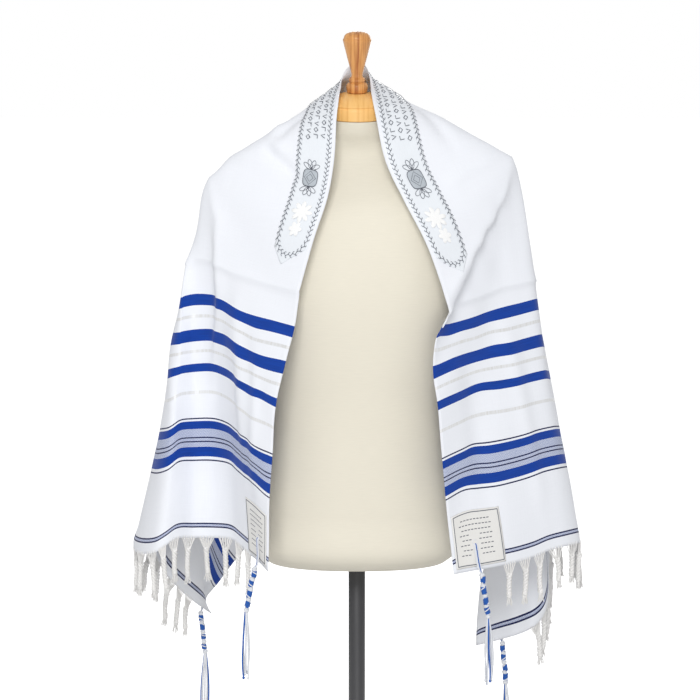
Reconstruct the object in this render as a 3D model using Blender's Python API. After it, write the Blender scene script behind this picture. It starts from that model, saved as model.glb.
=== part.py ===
"""Striped prayer shawl draped over a limbless dress form on a pole stand. Metres, +Z up.

The origin is the middle of the base's underside, +X is the viewer's right and the front faces -Y.
A place on the cloth is (u, v): u from the neck edge to the back edge, v from the middle of the
back along the length to the fringed hem of one half. Each half hangs from one shoulder point as
straight rays of cloth that run out to its rim, so it folds without stretching much, and the
tables below say where that rim hangs.
"""
import math

import bmesh
import bpy
import numpy as np

# ---------------------------------------------------------------- cut of the cloth
CLOTH_WIDTH = 0.80          # neck edge to back edge
HALF_LENGTH = 0.90          # middle of the back to one hem
WALL = 0.0016               # cloth, drawn a little thicker than the weave
SEAM_GAP = 0.0003           # air kept between pieces that touch
FADE_WINDOW = (-24, -16, -8, 0, 8, 16, 24)  # degrees; the folds fade towards this average
FADE_FROM = (10.0, 24.0)    # degrees from straight down the length towards the back edge
FADE_TO = (120.0, 150.0)

# Middle of the back, shared by both halves: u, x, y, z
CENTRE_LINE = (
    (0.000, 0.004, 0.045, 1.621),
    (0.100, 0.010, 0.085, 1.530),
    (0.225, 0.022, 0.085, 1.425),
    (0.400, 0.024, 0.100, 1.275),
    (0.600, 0.024, 0.118, 1.080),
    (0.800, 0.024, 0.130, 0.885),
)

# Each half: the shoulder point, where that is on the cloth, and the rows of its rim.
# x is counted outwards from the middle of the form, so both halves read alike.
HALVES = {
    "right": {
        "outward": 1,
        "shoulder": (0.262, 0.010, 1.472),
        "shoulder_uv": (0.225, 0.243),
        # neck edge: v, x, y, z
        "neck": (
            (0.000, 0.004, 0.045, 1.621),
            (0.028, 0.0170, 0.028, 1.606),
            (0.070, 0.022, -0.008, 1.577),
            (0.105, 0.0240, -0.047, 1.564),
            (0.140, 0.030, -0.072, 1.532),
            (0.205, 0.044, -0.088, 1.462),
            (0.270, 0.073, -0.110, 1.400),
            (0.360, 0.115, -0.135, 1.315),
            (0.430, 0.140, -0.140, 1.235),
            (0.455, 0.143, -0.140, 1.216),
            (0.500, 0.124, -0.148, 1.180),
            (0.535, 0.120, -0.150, 1.140),
            (0.610, 0.128, -0.155, 1.071),
            (0.760, 0.141, -0.160, 0.932),
            (0.900, 0.154, -0.165, 0.804),
        ),
        # hem: u, x, y, z
        "hem": (
            (0.000, 0.154, -0.165, 0.804),
            (0.105, 0.247, -0.112, 0.810),
            (0.155, 0.286, -0.085, 0.813),
            (0.205, 0.325, -0.055, 0.821),
            (0.250, 0.367, -0.022, 0.823),
            (0.320, 0.376, 0.045, 0.811),
            (0.425, 0.378, 0.160, 0.806),
            (0.470, 0.346, 0.164, 0.796),
            (0.550, 0.330, 0.085, 0.745),
            (0.662, 0.318, 0.000, 0.678),
            (0.740, 0.262, 0.030, 0.645),
            (0.800, 0.206, 0.070, 0.622),
        ),
        # back edge: v, x, y, z
        "back": (
            (0.900, 0.206, 0.070, 0.622),
            (0.800, 0.209, 0.082, 0.718),
            (0.755, 0.228, 0.104, 0.750),
            (0.700, 0.277, 0.122, 0.764),
            (0.650, 0.314, 0.146, 0.775),
            (0.530, 0.207, 0.168, 0.838),
            (0.400, 0.296, 0.240, 0.905),
            (0.240, 0.190, 0.225, 0.928),
            (0.120, 0.110, 0.175, 0.915),
            (0.000, 0.024, 0.130, 0.885),
        ),
        # broad swells: u, v, reach along u, reach along v, moved out, back, up
        "swells": (
            (0.130, 0.500, 0.070, 0.120, 0.000, 0.000, -0.012),
            (0.360, 0.000, 0.200, 0.280, 0.000, 0.036, 0.000),
            (0.270, 0.540, 0.110, 0.200, -0.005, 0.000, -0.010),
            (0.100, 0.730, 0.060, 0.120, 0.000, 0.000, -0.006),
            (0.148, 0.158, 0.068, 0.066, 0.000, 0.000, 0.018),
        ),
    },
    "left": {
        "outward": -1,
        "shoulder": (0.253, 0.010, 1.440),
        "shoulder_uv": (0.230, 0.278),
        "neck": (
            (0.000, -0.004, 0.045, 1.621),
            (0.028, 0.0190, 0.026, 1.605),
            (0.070, 0.026, -0.010, 1.575),
            (0.105, 0.0285, -0.049, 1.563),
            (0.140, 0.033, -0.072, 1.530),
            (0.205, 0.036, -0.088, 1.468),
            (0.270, 0.045, -0.110, 1.412),
            (0.360, 0.071, -0.135, 1.330),
            (0.425, 0.091, -0.140, 1.255),
            (0.479, 0.099, -0.145, 1.201),
            (0.537, 0.113, -0.150, 1.147),
            (0.598, 0.127, -0.155, 1.088),
            (0.697, 0.134, -0.165, 0.999),
            (0.762, 0.138, -0.175, 0.937),
            (0.900, 0.141, -0.190, 0.815),
        ),
        "hem": (
            (0.000, 0.141, -0.190, 0.815),
            (0.115, 0.180, -0.115, 0.832),
            (0.160, 0.205, -0.078, 0.841),
            (0.220, 0.261, -0.050, 0.838),
            (0.270, 0.298, -0.075, 0.842),
            (0.310, 0.320, -0.088, 0.828),
            (0.345, 0.338, -0.078, 0.818),
            (0.390, 0.368, -0.028, 0.808),
            (0.455, 0.383, 0.052, 0.804),
            (0.500, 0.350, 0.060, 0.798),
            (0.580, 0.325, -0.002, 0.765),
            (0.650, 0.300, 0.045, 0.725),
            (0.720, 0.269, 0.088, 0.682),
            (0.800, 0.256, 0.155, 0.657),
        ),
        "back": (
            (0.900, 0.256, 0.155, 0.657),
            (0.850, 0.288, 0.175, 0.684),
            (0.790, 0.266, 0.212, 0.674),
            (0.700, 0.220, 0.232, 0.735),
            (0.600, 0.165, 0.222, 0.808),
            (0.460, 0.270, 0.270, 0.886),
            (0.300, 0.170, 0.238, 0.912),
            (0.150, 0.080, 0.180, 0.902),
            (0.000, -0.024, 0.130, 0.885),
        ),
        "swells": (
            (0.090, 0.540, 0.075, 0.160, 0.000, 0.000, -0.006),
            (0.360, 0.000, 0.200, 0.280, 0.000, 0.036, 0.000),
            (0.310, 0.510, 0.110, 0.130, 0.011, 0.000, 0.000),
            (0.230, 0.530, 0.060, 0.110, 0.000, 0.000, -0.009),
            (0.130, 0.170, 0.064, 0.060, 0.000, 0.000, 0.017),
        ),
    },
}


def read_curve(rows, places):
    """Smooth curve through the rows (first column the place), read at the given places."""
    table = np.array(sorted(rows), dtype=float)
    at = table[:, 0]
    points = table[:, 1:]
    step = np.diff(at)[:, None]
    slope = np.diff(points, axis=0) / step
    tangent = np.vstack([slope[:1], slope[:1].repeat(len(at) - 2, axis=0), slope[-1:]])
    tangent[1:-1] = (slope[:-1] * step[1:] + slope[1:] * step[:-1]) / (step[1:] + step[:-1])
    places = np.clip(places, at[0], at[-1])
    row = np.clip(np.searchsorted(at, places, side="right") - 1, 0, len(at) - 2)
    span = step[row]
    q = (places - at[row])[:, None] / span
    start = (1 + 2 * q) * (1 - q) ** 2 * points[row] + q * (1 - q) ** 2 * span * tangent[row]
    end = q * q * (3 - 2 * q) * points[row + 1] + q * q * (q - 1) * span * tangent[row + 1]
    return start + end


def rim_points(half, u, v):
    """Where the rim of one half hangs, for places (u, v) on that rim. x counts outwards."""
    centre = [(row[0], half["outward"] * row[1], row[2], row[3]) for row in CENTRE_LINE]
    points = read_curve(centre, u)
    on_hem = v > HALF_LENGTH - 1e-9
    on_neck = u < 1e-9
    on_back = u > CLOTH_WIDTH - 1e-9
    points[on_hem] = read_curve(half["hem"], u[on_hem])
    points[on_neck] = read_curve(half["neck"], v[on_neck])
    points[on_back] = read_curve(half["back"], v[on_back])
    return points


def rim_at(half, turn):
    """Rim point in the direction turn from the shoulder point, and how far off it is on the cloth."""
    shoulder_u, shoulder_v = half["shoulder_uv"]
    du = np.sin(turn)
    dv = np.cos(turn)
    du = np.where(np.abs(du) < 1e-9, 1e-9, du)
    dv = np.where(np.abs(dv) < 1e-9, 1e-9, dv)
    reach_u = np.where(du > 0, CLOTH_WIDTH - shoulder_u, -shoulder_u) / du
    reach_v = np.where(dv > 0, HALF_LENGTH - shoulder_v, -shoulder_v) / dv
    reach = np.minimum(reach_u, reach_v)
    rim_u = np.clip(shoulder_u + du * reach, 0, CLOTH_WIDTH)
    rim_v = np.clip(shoulder_v + dv * reach, 0, HALF_LENGTH)
    side_edge = reach_u <= reach_v
    rim_u = np.where(side_edge, np.where(du > 0, CLOTH_WIDTH, 0.0), rim_u)
    rim_v = np.where(side_edge, rim_v, np.where(dv > 0, HALF_LENGTH, 0.0))
    return rim_points(half, rim_u, rim_v), reach


def rise(value, start, end):
    """Smooth step from 0 at start to 1 at end."""
    q = np.clip((value - start) / (end - start), 0.0, 1.0)
    return q * q * (3 - 2 * q)


def cloth_points(side, u, v):
    """Middle surface of one half of the cloth at the places (u, v)."""
    half = HALVES[side]
    u = np.asarray(u, dtype=float)
    v = np.asarray(v, dtype=float)
    du = u - half["shoulder_uv"][0]
    dv = v - half["shoulder_uv"][1]
    turn = np.arctan2(du, dv)
    rim, reach = rim_at(half, turn)
    share = (np.hypot(du, dv) / reach)[:, None]
    shoulder = np.array(half["shoulder"])
    points = shoulder + (rim - shoulder) * share
    # behind the shoulder the folds die away sooner than straight rays would let them
    smooth = sum(rim_at(half, turn + math.radians(aside))[0] for aside in FADE_WINDOW)
    smooth = smooth / len(FADE_WINDOW)
    degrees = np.degrees(turn)
    behind = (rise(degrees, *FADE_FROM) * (1 - rise(degrees, *FADE_TO)))[:, None]
    points -= (rim - smooth) * behind * (share - share ** 2)
    for swell_u, swell_v, reach_u, reach_v, out, back, up in half["swells"]:
        share = np.exp(-((u - swell_u) / reach_u) ** 2 - ((v - swell_v) / reach_v) ** 2)
        points[:, 0] += out * share
        points[:, 1] += back * share
        points[:, 2] += up * share
    points[:, 0] *= half["outward"]
    return points


# ---------------------------------------------------------------- solids
# Grid lines of the cloth. The neckband and the corner squares lie on whole cells of it.
EDGE_MARGIN = 0.006         # bare cloth outside the neckband and the corner squares
BAND_MIDDLE = 0.045
BAND_END = 0.064
SQUARE_END = 0.098
MIDDLE_CELLS = 18           # across, between the corner squares
LENGTH_CELLS = 34           # along one half, up to the corner squares
BAND_ROWS = 16              # cells along one half before the neckband's point
TIP_REACH = 0.045           # of the rounding at each shoulder point
TIP_EASE = 0.3              # and its strength
FOLD_EASE = 0.4             # strength of the rounding over the folds behind and over the shoulders
TOP_SPAN = (0.16, 0.26)     # how far from the middle that rounding reaches over the shoulders
EASE_PASSES = 4
BAND_WALL = 0.0008          # satin neckband and corner squares
BAND_LIFT = WALL / 2 + SEAM_GAP

# Fringe, along each hem between the corner squares
FRINGE_COLUMNS = (4, 4 + MIDDLE_CELLS + 1)     # grid lines across, one tassel to each cell
TASSEL_ROOM = 0.021         # no tassel where a fold brings the hem this near to the last ones
STRIP_SLACK = 0.0004        # more air between grid lines, where the hem's edge face is twisted
STRIP_END = SEAM_GAP + 0.004
SWAY = 0.06                 # how far tassels lean from straight down, per unit of length
SWAY_TURN = 2.3             # how the lean changes from one tassel to the next
HANG_SHARE = 0.12           # how much a tassel still follows the cloth above it
# tassel rings: drop below the hem strip, half width along the hem, half depth
TASSEL_RINGS = (
    (0.010, 0.0062, 0.0028),
    (0.022, 0.0042, 0.0036),
    (0.048, 0.0038, 0.0038),
    (0.055, 0.0056, 0.0056),
    (0.061, 0.0040, 0.0040),
    (0.071, 0.0052, 0.0032),
)

# Corner tassels
LOOP_WIDTH = 0.0034
LOOP_DEPTH = 0.0009
LOOP_GAPS = {"front": 0.0004, "back": 0.0010}   # over the satin square
CORNER_STAND_OFF = 0.0045   # from the loop's middle to the middle of the wound part
# wound part: drop below the hem, radius
CORNER_TASSEL_RINGS = (
    (0.006, 0.0042),
    (0.012, 0.0052),
    (0.020, 0.0052),
    (0.024, 0.0038),
    (0.028, 0.0052),
    (0.037, 0.0052),
    (0.041, 0.0038),
    (0.045, 0.0052),
    (0.054, 0.0052),
    (0.058, 0.0038),
    (0.062, 0.0052),
    (0.071, 0.0052),
    (0.075, 0.0040),
    (0.080, 0.0058),
)
ROOT_SHARE = 0.75           # size of a loose end's root in its quarter of the wound part
LOOSE_LENGTH = 0.115
# how far each wound part leans to the viewer's right, per unit of length
CORNER_LEANS = {"front_right": 0.16, "front_left": -0.22, "back_right": 0.05, "back_left": 0.14}
LOOSE_SPREAD = 0.004

# Dress form: height, y of the middle, half width, half depth, forward lean in degrees
TORSO_RINGS = (
    (0.790, 0.012, 0.150, 0.098, 0.0),
    (0.800, 0.012, 0.163, 0.110, 0.0),
    (0.880, 0.012, 0.168, 0.115, 0.0),
    (0.960, 0.010, 0.158, 0.110, 0.0),
    (1.050, 0.004, 0.148, 0.104, 0.0),
    (1.150, -0.004, 0.159, 0.106, 0.0),
    (1.250, -0.007, 0.177, 0.110, 0.0),
    (1.333, -0.006, 0.191, 0.101, 0.0),
    (1.388, -0.003, 0.204, 0.0833, 0.0),
    (1.415, 0.003, 0.212, 0.069, 0.0),
    (1.437, 0.009, 0.213, 0.059, 0.0),
    (1.457, 0.012, 0.196, 0.051, 0.0),
    (1.477, 0.013, 0.148, 0.049, 2.0),
    (1.490, 0.012, 0.088, 0.052, 4.0),
    (1.508, 0.006, 0.064, 0.055, 7.0),
    (1.529, 0.000, 0.0555, 0.0555, 10.0),
)
TORSO_SIDES = 40
TORSO_SQUARENESS = 2.3      # exponent of the rings: 2 is an ellipse
SHOULDER_SLANT = 0.080      # the viewer's right shoulder stands a little higher
SLANT_FROM = 1.25           # height where that starts
SLANT_TO = 1.42             # height where it is full
SLANT_END = 1.47            # and it is gone again at the neck
NECK_TOP = (0.0, 0.0, 1.529)
NECK_LEAN = math.radians(10.0)
TURNED_SIDES = 32

# Turned wood, radius and height above the neck seam
CAP_PROFILE = (
    (0.0560, 0.0003),
    (0.0552, 0.0195),
    (0.0537, 0.0210),
    (0.0537, 0.0225),
    (0.0542, 0.0237),
    (0.0475, 0.0283),
    (0.0350, 0.0345),
    (0.0200, 0.0390),
)
KNOB_PROFILE = (
    (0.0140, 0.0393),
    (0.0167, 0.0425),
    (0.0177, 0.0480),
    (0.0163, 0.0535),
    (0.0120, 0.0560),
    (0.0132, 0.0585),
    (0.0132, 0.0625),
    (0.0092, 0.0655),
    (0.0108, 0.0760),
    (0.0157, 0.0950),
    (0.0206, 0.1140),
    (0.0229, 0.1232),
    (0.0230, 0.1262),
    (0.0198, 0.1328),
    (0.0110, 0.1375),
)
# Stand, radius and height
POLE_Y = 0.0
POLE_PROFILE = (
    (0.0140, 0.0183),
    (0.0140, 0.7897),
)
BASE_PROFILE = (
    (0.1900, 0.0000),
    (0.1950, 0.0040),
    (0.1950, 0.0100),
    (0.1850, 0.0150),
    (0.0300, 0.0180),
)

COLOURS = {                 # red, green, blue, roughness, metallic
    "cloth": (0.93, 0.94, 0.97, 0.75, 0.0),
    "satin": (0.96, 0.96, 0.95, 0.35, 0.0),
    "fringe": (0.95, 0.94, 0.92, 0.85, 0.0),
    "tzitzit": (0.70, 0.78, 0.90, 0.80, 0.0),
    "cover": (0.83, 0.79, 0.70, 0.90, 0.0),
    "wood": (0.78, 0.45, 0.18, 0.35, 0.0),
    "metal": (0.12, 0.12, 0.13, 0.45, 1.0),
}


def surface(u, w):
    """Middle surface at (u, w); w runs along the whole length, right half positive."""
    u = np.asarray(u, dtype=float)
    w = np.asarray(w, dtype=float)
    points = cloth_points("right", u, np.abs(w))
    left = w < 0
    points[left] = cloth_points("left", u[left], -w[left])
    return points


def grid_lines():
    """Lines across the cloth and along it, on which all its pieces are made."""
    last = CLOTH_WIDTH - SQUARE_END
    first_lines = [0.0, EDGE_MARGIN, BAND_MIDDLE, BAND_END]
    middle_lines = list(np.linspace(SQUARE_END, last, MIDDLE_CELLS + 1))
    last_lines = [CLOTH_WIDTH - BAND_MIDDLE, CLOTH_WIDTH - EDGE_MARGIN, CLOTH_WIDTH]
    across = np.array(first_lines + middle_lines + last_lines)
    square = HALF_LENGTH - SQUARE_END
    half = list(np.linspace(0, square, LENGTH_CELLS + 1))
    half += [HALF_LENGTH - BAND_MIDDLE, HALF_LENGTH - EDGE_MARGIN, HALF_LENGTH]
    along = np.array([-v for v in reversed(half[1:])] + half)
    return across, along


def grid_normals(points):
    """Unit normals of a grid of points, on the side of the cloth that shows."""
    normal = np.cross(np.gradient(points, axis=0), np.gradient(points, axis=1))
    return normal / np.linalg.norm(normal, axis=2)[:, :, None]


def ease_folds(points, u, w):
    """Round the shoulder points and the folds behind them by averaging neighbours."""
    row_steps = np.diff(w[:, 0])[:, None, None]
    rows_before, rows_after = row_steps[:-1], row_steps[1:]
    column_steps = np.diff(u[0])[None, :, None]
    columns_before, columns_after = column_steps[:, :-1], column_steps[:, 1:]
    for half in HALVES.values():
        tip_u, tip_v = half["shoulder_uv"]
        du = u - tip_u
        dv = w * half["outward"] - tip_v
        near = TIP_EASE * np.exp(-(du * du + dv * dv) / TIP_REACH ** 2)
        degrees = np.degrees(np.arctan2(du, dv))
        behind = rise(degrees, *FADE_FROM) * (1 - rise(degrees, *FADE_TO))
        away = rise(np.hypot(du, dv), TIP_REACH, 3 * TIP_REACH)
        over = 1 - rise(np.abs(w), *TOP_SPAN)
        weight = np.maximum(near, FOLD_EASE * np.maximum(behind * away, over))[:, :, None]
        for _ in range(EASE_PASSES):
            mean = points.copy()
            over_rows = (points[:-2] * rows_after + points[2:] * rows_before) / (rows_after + rows_before)
            over_columns = ((points[:, :-2] * columns_after + points[:, 2:] * columns_before)
                            / (columns_after + columns_before))
            mean[1:-1, 1:-1] = (over_rows[:, 1:-1] + over_columns[1:-1]) / 2
            mean[1:-1, -1] = over_rows[:, -1]
            mean[[0, -1], 1:-1] = over_columns[[0, -1]]
            points = points + weight * (mean - points)
    return points


def make_material(name):
    """Principled material in the named colour, made once."""
    if name in bpy.data.materials:
        return bpy.data.materials[name]
    red, green, blue, roughness, metallic = COLOURS[name]
    material = bpy.data.materials.new(name)
    material.use_nodes = True
    shader = material.node_tree.nodes["Principled BSDF"]
    shader.inputs["Base Color"].default_value = (red, green, blue, 1.0)
    shader.inputs["Roughness"].default_value = roughness
    shader.inputs["Metallic"].default_value = metallic
    return material


def add_object(name, vertices, faces, material, crease_angle=50.0):
    """New object from points and faces, smooth but for its sharp edges."""
    mesh = bpy.data.meshes.new(name)
    mesh.from_pydata([tuple(float(c) for c in p) for p in vertices], [], faces)
    mesh.validate()
    mesh.shade_smooth()
    mesh.set_sharp_from_angle(angle=math.radians(crease_angle))
    item = bpy.data.objects.new(name, mesh)
    bpy.context.scene.collection.objects.link(item)
    item.data.materials.append(make_material(material))
    return item


class Cloth:
    """The cloth's grid: places, points and normals, and walls made on it."""

    def __init__(self):
        self.across, self.along = grid_lines()
        self.u, self.w = np.meshgrid(self.across, self.along)
        points = surface(self.u.ravel(), self.w.ravel()).reshape(self.u.shape + (3,))
        self.points = ease_folds(points, self.u, self.w)
        self.normals = grid_normals(self.points)

    def wall(self, name, cells, lift, thickness, material):
        """Closed wall over the given cells of triangles, its inside lifted off the grid."""
        corners = sorted({corner for cell in cells for corner in cell})
        number = {corner: i for i, corner in enumerate(corners)}
        rows = [corner[0] for corner in corners]
        columns = [corner[1] for corner in corners]
        place = self.points[rows, columns]
        normal = self.normals[rows, columns]
        inner_first = len(corners)
        vertices = np.vstack([place + normal * (lift + thickness), place + normal * lift])
        faces = []
        edges = set()
        for cell in cells:
            a, b, c = (number[corner] for corner in cell)
            faces.append((a, b, c))
            faces.append((inner_first + a, inner_first + c, inner_first + b))
            edges.update([(a, b), (b, c), (c, a)])
        for a, b in sorted(edges):
            if (b, a) not in edges:
                faces.append((b, a, inner_first + a, inner_first + b))
        return add_object(name, vertices, faces, material)

    def cell_triangles(self, row, column):
        """The two triangles of one grid cell, always split the same way."""
        a = (row, column)
        b = (row, column + 1)
        c = (row + 1, column + 1)
        d = (row + 1, column)
        right_half = self.along[row] >= -1e-9
        if (column < 2) == right_half:
            return [(a, d, c), (a, c, b)]
        return [(a, d, b), (b, d, c)]

    def block(self, rows, columns):
        """Triangles of all cells in the given ranges of rows and columns."""
        return [tri for r in rows for c in columns for tri in self.cell_triangles(r, c)]


def make_shawl(cloth):
    """The woven cloth, one closed wall."""
    rows = range(len(cloth.along) - 1)
    columns = range(len(cloth.across) - 1)
    return cloth.wall("shawl", cloth.block(rows, columns), -WALL / 2, WALL, "cloth")


def make_neckband(cloth):
    """Satin band along the neck edge, with a point at each end."""
    middle = len(cloth.along) // 2
    low = middle - BAND_ROWS
    high = middle + BAND_ROWS
    cells = cloth.block(range(low, high), (1, 2))
    cells += [((high, 1), (high + 1, 2), (high, 2)), ((high, 2), (high + 1, 2), (high, 3))]
    cells += [((low, 1), (low, 2), (low - 1, 2)), ((low, 2), (low, 3), (low - 1, 2))]
    return cloth.wall("neckband", cells, BAND_LIFT, BAND_WALL, "satin")


def make_squares(cloth):
    """A satin square in each corner."""
    last_row = len(cloth.along) - 1
    last_column = len(cloth.across) - 1
    rows = {"left": (1, 2), "right": (last_row - 3, last_row - 2)}
    columns = {"front": (1, 2, 3), "back": (last_column - 3, last_column - 2)}
    for depth, column_range in columns.items():
        for side, row_range in rows.items():
            cells = cloth.block(row_range, column_range)
            cloth.wall(f"patch_{depth}_{side}", cells, BAND_LIFT, BAND_WALL, "satin")


def unit(vector):
    """The vector at length one."""
    return vector / np.linalg.norm(vector)


class Body:
    """A closed solid put together from rings of points joined by quads."""

    def __init__(self):
        self.vertices = []
        self.faces = []

    def ring(self, points):
        """Add a ring of points and give back their numbers."""
        first = len(self.vertices)
        self.vertices += [tuple(float(c) for c in p) for p in points]
        return list(range(first, len(self.vertices)))

    def join(self, upper, lower):
        """Quads between two rings of the same size."""
        for i in range(len(upper)):
            j = (i + 1) % len(upper)
            self.faces.append((upper[i], upper[j], lower[j], lower[i]))

    def tube(self, start, rings):
        """Carry on from the ring start through more rings and close the end."""
        for points in rings:
            following = self.ring(points)
            self.join(start, following)
            start = following
        self.faces.append(tuple(start))

    def build(self, name, material):
        """Make the object, with its faces turned to point out."""
        bm = bmesh.new()
        verts = [bm.verts.new(v) for v in self.vertices]
        for face in self.faces:
            bm.faces.new([verts[i] for i in face])
        bmesh.ops.recalc_face_normals(bm, faces=bm.faces)
        mesh = bpy.data.meshes.new(name)
        bm.to_mesh(mesh)
        bm.free()
        mesh.shade_smooth()
        mesh.set_sharp_from_angle(angle=math.radians(50.0))
        item = bpy.data.objects.new(name, mesh)
        bpy.context.scene.collection.objects.link(item)
        item.data.materials.append(make_material(material))
        return item


def hem_frame(cloth, side, u):
    """Point on the hem, direction along it, square away from the hem, and the outside's normal."""
    row, inner = (len(cloth.along) - 1, len(cloth.along) - 2)
    if side == "left":
        row, inner = 0, 1

    def read(grid, place):
        return np.array([np.interp(place, cloth.across, grid[:, axis]) for axis in range(3)])

    point = read(cloth.points[row], u)
    normal = unit(read(cloth.normals[row], u))
    along = unit(read(cloth.points[row], u + 0.003) - read(cloth.points[row], u - 0.003))
    down = point - read(cloth.points[inner], u)
    down = unit(down - along * (down @ along))
    return point, along, down, normal


def four_corners(centre, sideways, depth, half_width, half_depth):
    """A rectangle about the centre, in the order of a hem cell's underside."""
    signs = ((-1, 1), (1, 1), (1, -1), (-1, -1))
    return [centre + sideways * half_width * a + depth * half_depth * b for a, b in signs]


def make_fringe(cloth, side):
    """Strip just below the hem, with a knotted tassel hanging from every second cell."""
    lines = cloth.across[FRINGE_COLUMNS[0]:FRINGE_COLUMNS[1]]
    places = np.interp(np.arange(2 * len(lines) - 1) / 2, np.arange(len(lines)), lines)
    body = Body()
    sections = []
    for place, u in enumerate(places):
        point, _, down, normal = hem_frame(cloth, side, u)
        gap = SEAM_GAP + STRIP_SLACK * (place % 2)
        corners = []
        for depth, lift in ((gap, 1), (gap, -1), (STRIP_END, -1), (STRIP_END, 1)):
            corners.append(point + down * depth + normal * lift * WALL / 2)
        sections.append(body.ring(corners))
    body.faces.append(tuple(sections[0]))
    body.faces.append(tuple(sections[-1]))
    roots = []
    for cell in range(len(places) - 1):
        here = sections[cell]
        after = sections[cell + 1]
        for a in (0, 1, 3):
            b = (a + 1) % 4
            body.faces.append((here[a], after[a], after[b], here[b]))
        underside = [here[3], after[3], after[2], here[2]]
        middle = (places[cell] + places[cell + 1]) / 2
        point, _, down, normal = hem_frame(cloth, side, middle)
        crowded = any(np.linalg.norm(point - other) < TASSEL_ROOM for other in roots)
        if cell % 2 or crowded:
            body.faces.append(tuple(underside))
            continue
        roots.append(point)
        along = np.array(body.vertices[after[3]]) - np.array(body.vertices[here[3]])
        sway = SWAY * math.sin(SWAY_TURN * cell)
        hang = unit(np.array([sway, SWAY * math.cos(SWAY_TURN * cell), -1.0]) + down * HANG_SHARE)
        sideways = unit(along - hang * (along @ hang))
        depth = unit(normal - hang * (normal @ hang) - sideways * (normal @ sideways))
        start = point + down * STRIP_END
        rings = [four_corners(start + hang * drop, sideways, depth, wide, deep)
                 for drop, wide, deep in TASSEL_RINGS]
        body.tube(underside, rings)
    body.build(f"fringe_{side}", "fringe")


def make_corner_tassel(cloth, depth_name, side):
    """Tassel threaded through an eyelet: a flat loop over the hem, a wound part, loose ends."""
    u = BAND_MIDDLE if depth_name == "front" else CLOTH_WIDTH - BAND_MIDDLE
    column = int(np.argmin(abs(cloth.across - u)))
    hem_row, step = (len(cloth.along) - 1, -1) if side == "right" else (0, 1)
    point, along, down, normal = hem_frame(cloth, side, u)
    turns = [math.radians(45.0 * i) for i in range(8)]

    def octagon(centre, axis_a, axis_b, half_a, half_b):
        return [centre + axis_a * half_a * math.cos(t) + axis_b * half_b * math.sin(t) for t in turns]

    lift = BAND_LIFT + BAND_WALL + LOOP_GAPS[depth_name] + LOOP_DEPTH
    rings = []
    for inset in (2, 1, 0):
        row = hem_row + step * inset
        out = cloth.normals[row, column]
        centre = cloth.points[row, column] + out * lift
        rings.append(octagon(centre, along, out, LOOP_WIDTH, LOOP_DEPTH))
    start = point + normal * (lift + CORNER_STAND_OFF)
    lean = CORNER_LEANS[f"{depth_name}_{side}"]
    hang = unit(np.array([lean, 0.0, -1.0]) + down * HANG_SHARE)
    fall = unit(np.array([0.0, 0.0, -1.0]) + down * HANG_SHARE)
    sideways = unit(along - hang * (along @ hang))
    outward = unit(np.cross(sideways, hang))
    if outward @ normal < 0:
        outward = -outward
    for drop, half in CORNER_TASSEL_RINGS:
        rings.append(octagon(start + hang * drop, sideways, outward, half, half))
    body = Body()
    ring = body.ring(rings[0])
    body.faces.append(tuple(ring))
    for points in rings[1:]:
        following = body.ring(points)
        body.join(ring, following)
        ring = following
    end = start + hang * CORNER_TASSEL_RINGS[-1][0]
    middle = body.ring([end])[0]
    for quarter in range(4):
        corners = [middle] + [ring[(2 * quarter + i) % 8] for i in range(3)]
        offsets = [np.array(body.vertices[i]) for i in corners]
        centre = sum(offsets) / 4
        offsets = [(corner - centre) * ROOT_SHARE for corner in offsets]
        root = body.ring([centre + offset for offset in offsets])
        body.join(corners, root)
        spread = unit(centre - end)
        lower = []
        for part in (0.33, 0.67, 1.0):
            place = centre + fall * LOOSE_LENGTH * part + spread * LOOSE_SPREAD * math.sin(2.4 * part)
            lower.append([place + offset for offset in offsets])
        body.tube(root, lower)
    body.build(f"tzitzit_{depth_name}_{side}", "tzitzit")


def make_turned(name, profile, foot, lean, material):
    """Turned piece from a profile of radius and height, leaning forward about its foot."""
    body = Body()
    turn = 2 * math.pi / TURNED_SIDES
    rings = []
    for radius, height in profile:
        points = []
        for i in range(TURNED_SIDES):
            x = radius * math.cos(turn * i)
            y = radius * math.sin(turn * i)
            points.append((foot[0] + x,
                           foot[1] + y * math.cos(lean) - height * math.sin(lean),
                           foot[2] + y * math.sin(lean) + height * math.cos(lean)))
        rings.append(points)
    first = body.ring(rings[0])
    body.faces.append(tuple(first))
    body.tube(first, rings[1:])
    return body.build(name, material)


def make_torso():
    """Padded body of the form, from its flat underside to the top of the leaning neck."""
    body = Body()
    rings = []
    for height, middle_y, half_width, half_depth, lean_degrees in TORSO_RINGS:
        lean = math.radians(lean_degrees)
        slant = SHOULDER_SLANT * rise(height, SLANT_FROM, SLANT_TO)
        slant *= 1 - rise(height, SLANT_TO, SLANT_END)
        power = 2 / TORSO_SQUARENESS if height < SLANT_TO else 1.0
        points = []
        for i in range(TORSO_SIDES):
            turn = 2 * math.pi * i / TORSO_SIDES
            cosine = math.cos(turn)
            sine = math.sin(turn)
            x = half_width * math.copysign(abs(cosine) ** power, cosine)
            y = half_depth * math.copysign(abs(sine) ** power, sine)
            points.append((x, middle_y + y * math.cos(lean), height + y * math.sin(lean) + slant * x))
        rings.append(points)
    first = body.ring(rings[0])
    body.faces.append(tuple(first))
    body.tube(first, rings[1:])
    return body.build("torso", "cover")


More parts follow.
